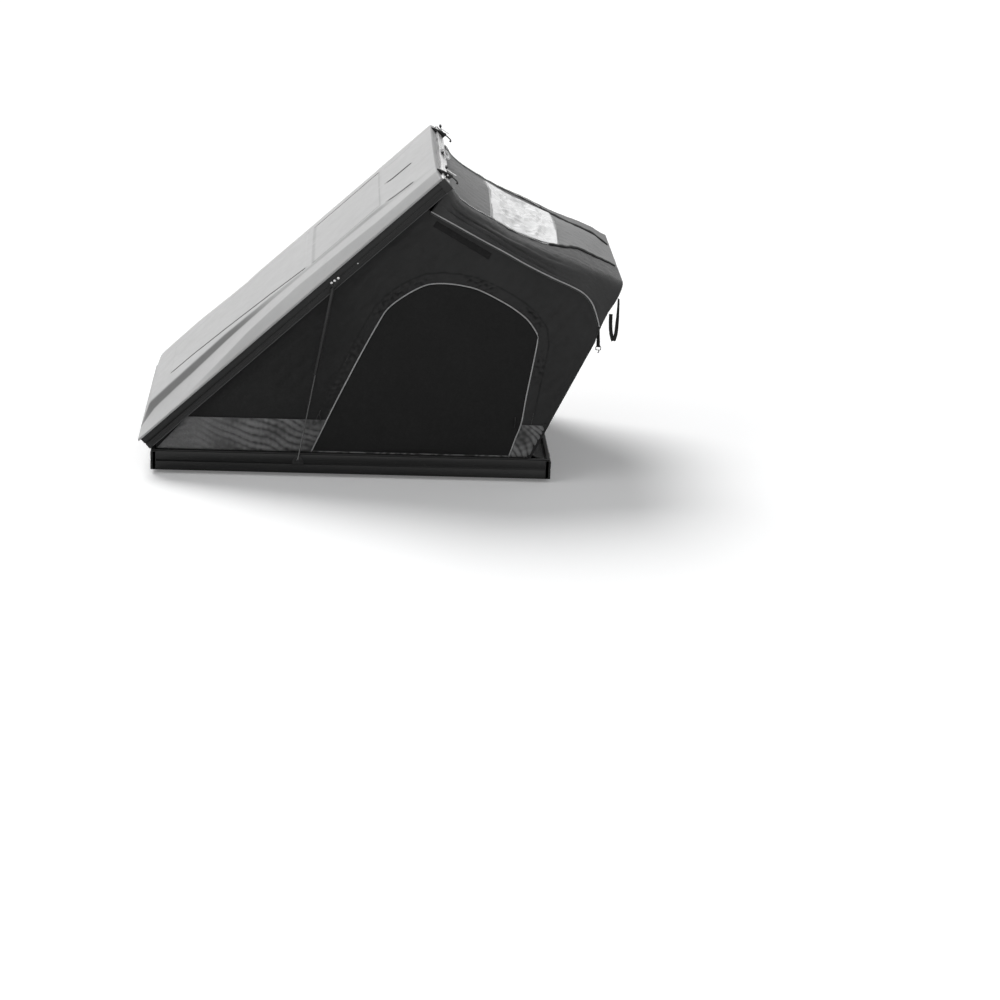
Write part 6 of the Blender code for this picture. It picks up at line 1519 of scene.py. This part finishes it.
off_middle = smooth_steps(0.0, 0.05, rear_half[..., 1])
rear_grid = both_halves(*(pushed(rear_half, rear_relief(rear_half, side) * off_middle, flip=True) * (1, side, 1)
                          for _, side in SIDES))
rear_up = arc_lengths(rear_grid[:, rear_grid.shape[1] // 2])
rear_uv = np.stack(np.broadcast_arrays(rear_grid[..., 1], rear_up[:, None]), axis=-1)
centre = rear_grid.shape[1] // 2
left_edge, right_edge = centre - DOOR_COLUMNS, centre + DOOR_COLUMNS
low_row, high_row = sum(steps[:3]), sum(steps[:8])
in_door = np.zeros((len(rear_grid) - 1, rear_grid.shape[1] - 1), bool)
in_door[low_row:high_row, left_edge:right_edge] = True
rear = add_surface("rear_canvas", rear_grid, flip=True, keep=~in_door, uv=rear_uv)
thicken(rear, CLOTH)
fold_away(rear, "dark_canvas", "rear", ["rear_wall"])
rear_leaf = add_surface("rear_door_leaf", rear_grid, flip=True, keep=in_door, uv=rear_uv)
thicken(rear_leaf, CLOTH)
fold_away(rear_leaf, "dark_canvas_door", "rear", ["rear_door"])
print("rear wall grid:", rear_grid.shape, "door height:", round(rear_up[high_row] - rear_up[low_row], 3))

# %% [markdown]
# A light cord frames the rear door, with a row of stitches on each side of it.

# %% Piping of the rear door
border = np.concatenate([rear_grid[low_row:high_row, left_edge], rear_grid[high_row, left_edge:right_edge],
                         rear_grid[high_row:low_row:-1, right_edge],
                         rear_grid[low_row, right_edge:left_edge - 1:-1]])
out_rear = np.array([math.sin(BOW_LINE[2]), 0.0, -math.cos(BOW_LINE[2])])
border = smooth_line(border[::3], 220, closed=True) + out_rear * 0.0022
fold_away(add_carried("rear_door_piping", border, oval(0.0032, 0.0024, 8), closed=True, up=tuple(out_rear)),
          "piping", "rear")
rear_rows = [add_dashes("row", border + out_rear * 0.0002, out_rear, *LONG_STITCH, shift=s)
             for s in (0.008, -0.008)]
fold_away(join("rear_stitches", rear_rows), "thread", "rear")
print("rear door piping:", round(arc_lengths(border)[-1], 2), "m")

# %% [markdown]
# ## Straps and small fittings
# Webbing is a flat ribbon: a narrow grid along a line, a little thicker in the middle, with its weave in
# the finish. Near each corner of the end hoop hang a black loop and a tail with a buckle, and a white pull
# strap hangs in a loop from the lid's rear rail.

# %% Ribbons
def add_ribbon(name, path, wide, width, thickness, crown=0.0006):
    """A ribbon: each point of the path carries a short row of points along its wide direction."""
    path = np.asarray(path, float)
    along = unit(np.gradient(path, axis=0))
    wide = np.broadcast_to(np.asarray(wide, float), path.shape)
    wide = unit(wide - along * np.sum(wide * along, axis=1)[:, None])
    w = np.linspace(-1, 1, 7)
    normal = np.cross(along, wide)
    points = path[:, None] + wide[:, None] * (w * width / 2)[None, :, None] \
        + normal[:, None] * (crown * (1 - w ** 2))[None, :, None]
    uv = np.stack(np.broadcast_arrays(arc_lengths(path)[:, None], w[None] * width / 2), axis=-1)
    return thicken(add_surface(name, points, uv=uv), thickness, 0.0)


def turned_wide(degrees):
    """Level directions at the given angles from +X toward +Y."""
    angle = np.radians(degrees)
    return np.stack([np.cos(angle), np.sin(angle), np.zeros_like(angle)], axis=-1)


STRAP_FRONT = ((1.3880, -0.006, 0.993), (1.3890, -0.003, 0.930), (1.3885, 0.0, 0.870), (1.3850, 0.001, 0.800),
               (1.3770, 0.0, 0.7655), (1.3745, 0.004, 0.7585), (1.3700, 0.008, 0.7625), (1.3600, 0.009, 0.800),
               (1.3545, 0.007, 0.845), (1.3520, 0.004, 0.905))
TAIL = ((1.2890, 0.0, 0.835), (1.2905, 0.001, 0.800), (1.2930, 0.0, 0.760), (1.2950, 0.0, 0.722))
for label, side in SIDES:
    pieces = []
    for points, angles in ((STRAP_FRONT, (70, 62, 52, 38, 20, 8, 4, 4, 6, 10)), (TAIL, (40, 34, 26, 22))):
        line = smooth_line(np.array(points), 90 if len(points) > 4 else 30)
        line[:, 1] = side * (0.600 - line[:, 1])
        turn_at = np.interp(np.linspace(0, 1, len(line)), np.linspace(0, 1, len(angles)), angles)
        pieces.append(add_ribbon("strap", line, turned_wide(side * turn_at), 0.0195, 0.0016))
    strap = join(f"hood_webbing_{label}", pieces)
    fold_away(strap, "black_webbing", "cover", [f"hood_strap_{label}"])
    ring = rounded_rectangle(0.0130, 0.0095, 0.003, 4, 3)
    spot = np.array([1.2955, side * 0.6005, 0.7160])
    ring = np.stack([spot[0] + ring[:, 0], np.full(len(ring), spot[1]), spot[2] + ring[:, 1]], axis=1)
    hook = smooth_line(np.array([(1.2955, 0.708), (1.2990, 0.701), (1.2985, 0.694), (1.2935, 0.6905)]), 14)
    fittings = [add_carried("ring", ring, oval(0.0022, 0.0022, 8), closed=True, up=OUTWARD),
                add_carried("hook", on_side(hook, spot[1]), oval(0.0024, 0.0024, 8), up=OUTWARD)]
    fold_away(join(f"strap_buckle_{label}", fittings), "black_plastic", "cover")
print("hood strap length:", round(float(arc_lengths(smooth_line(np.array(STRAP_FRONT), 90))[-1]), 3), "m")

# %% [markdown]
# The pull strap is one closed loop through the anchor on the rear rail, drawn in lid coordinates and
# turned a little so that its broad face shows.

# %% Pull strap
PULL_LOOP = ((2.1540, 0.0745), (2.1505, 0.062), (2.1500, 0.040), (2.1500, 0.022), (2.1525, 0.0100),
             (2.1590, 0.0105), (2.1655, 0.0240), (2.1685, 0.044), (2.1630, 0.066))
loop_line = smooth_line(np.array(PULL_LOOP), 64, closed=True)
loop_path = lid_point(loop_line[:, 0], 0.0, loop_line[:, 1])
inward = unit(np.mean(loop_path, axis=0) - loop_path)
pull = add_ribbon("pull_strap_webbing", loop_path, np.array([0.0, 0.86, 0.0]) + 0.50 * inward, 0.0240, 0.0018)
dress(pull, "white_webbing", "lid", ["pull_strap"])

# %% [markdown]
# The last pieces sit on the lid's rails: an edge cord along each side, turned rivet and bolt heads at the
# strut and latch brackets, a lever on each latch, and a cap over each end of the rear rail.

# %% Edge cords, bolts, levers and caps
def add_turned(name, centre, axis, profile, count=14):
    """A profile of (radius, height) points turned round an axis, closed at its top."""
    axis = unit(axis)
    first = unit(np.cross(axis, (0.31, 0.95, 0.02)))
    second = np.cross(axis, first)
    turn = np.linspace(0, 2 * np.pi, count, endpoint=False)
    ring = np.cos(turn)[:, None] * first + np.sin(turn)[:, None] * second
    profile = np.asarray(profile, float)
    points = np.asarray(centre) + ring[None] * profile[:, None, :1] + axis * profile[:, None, 1:]
    faces = grid_faces(len(profile), count, close_columns=True).tolist()
    faces.append(list(range((len(profile) - 1) * count, len(profile) * count)))
    faces.append(list(range(count))[::-1])
    return add_mesh(name, points.reshape(-1, 3), faces)


RIVET = ((0.0034, -0.0004), (0.0034, 0.0004), (0.0031, 0.0011), (0.0024, 0.0017), (0.0013, 0.0021),
         (0.0003, 0.0022))
STRUT_BOLT = tuple((2.0 * r, h if h < 0 else 0.0085 + 0.9 * h) for r, h in RIVET)
LATCH_BOLT = tuple((1.35 * r, 1.2 * h) for r, h in RIVET)
for label, side in SIDES:
    cord_s = np.linspace(0.035, 2.100, 60)
    cord_path = lid_point(cord_s, side * 0.6742, 0.0014)
    dress(add_carried(f"rail_edge_cord_{label}", cord_path, oval(0.0017, 0.0017, 8), up=OUTWARD),
          "keder", "lid")
    heads = [add_turned("rivet", lid_point(1.512, side * RAIL_HALF, 0.0266), (0, side, 0), RIVET)]
    for s, n in ((1.3407, 0.0402), (1.3841, 0.0363), (1.3603, 0.0387)):
        heads.append(add_turned("bolt", lid_point(s, side * RAIL_HALF, n), (0, side, 0), STRUT_BOLT))
    for s, n in ((2.1405, 0.0600), (2.1545, 0.0450)):
        heads.append(add_turned("bolt", lid_point(s, side * 0.5475, n), (0, side, 0), LATCH_BOLT))
    dress(join(f"lid_bolts_{label}", heads), "bright_bolt", "lid")
    lever = smooth_line(np.array([(2.1680, 0.0720), (2.1725, 0.0560), (2.1790, 0.0300), (2.1845, 0.0120)]), 20)
    lever_path = lid_point(lever[:, 0], side * 0.5300, lever[:, 1])
    dress(add_carried(f"latch_lever_{label}", lever_path, slab(0.0013, 0.0080), up=OUTWARD), "bright_bolt",
          f"latch_{label}")
    cap = rounded_rectangle(0.0210, 0.0358, 0.0060, 5, 3)
    cap_path = lid_point(np.full(3, 2.1252), side * np.array([0.6400, 0.6600, 0.6762]), np.full(3, 0.0350))
    lid_up = lid_point(0.0, 0.0, 1.0) - lid_point(0.0, 0.0, 0.0)
    cap = add_carried(f"corner_cap_{label}", cap_path, cap, up=tuple(np.ravel(lid_up)))
    round_off = cap.modifiers.new("edge_round", "BEVEL")
    round_off.width, round_off.segments = 0.0022, 3
    round_off.limit_method, round_off.angle_limit = "ANGLE", math.radians(60)
    dress(cap, "black_plastic", "lid")
print("bolts, levers, caps and cords on both sides")
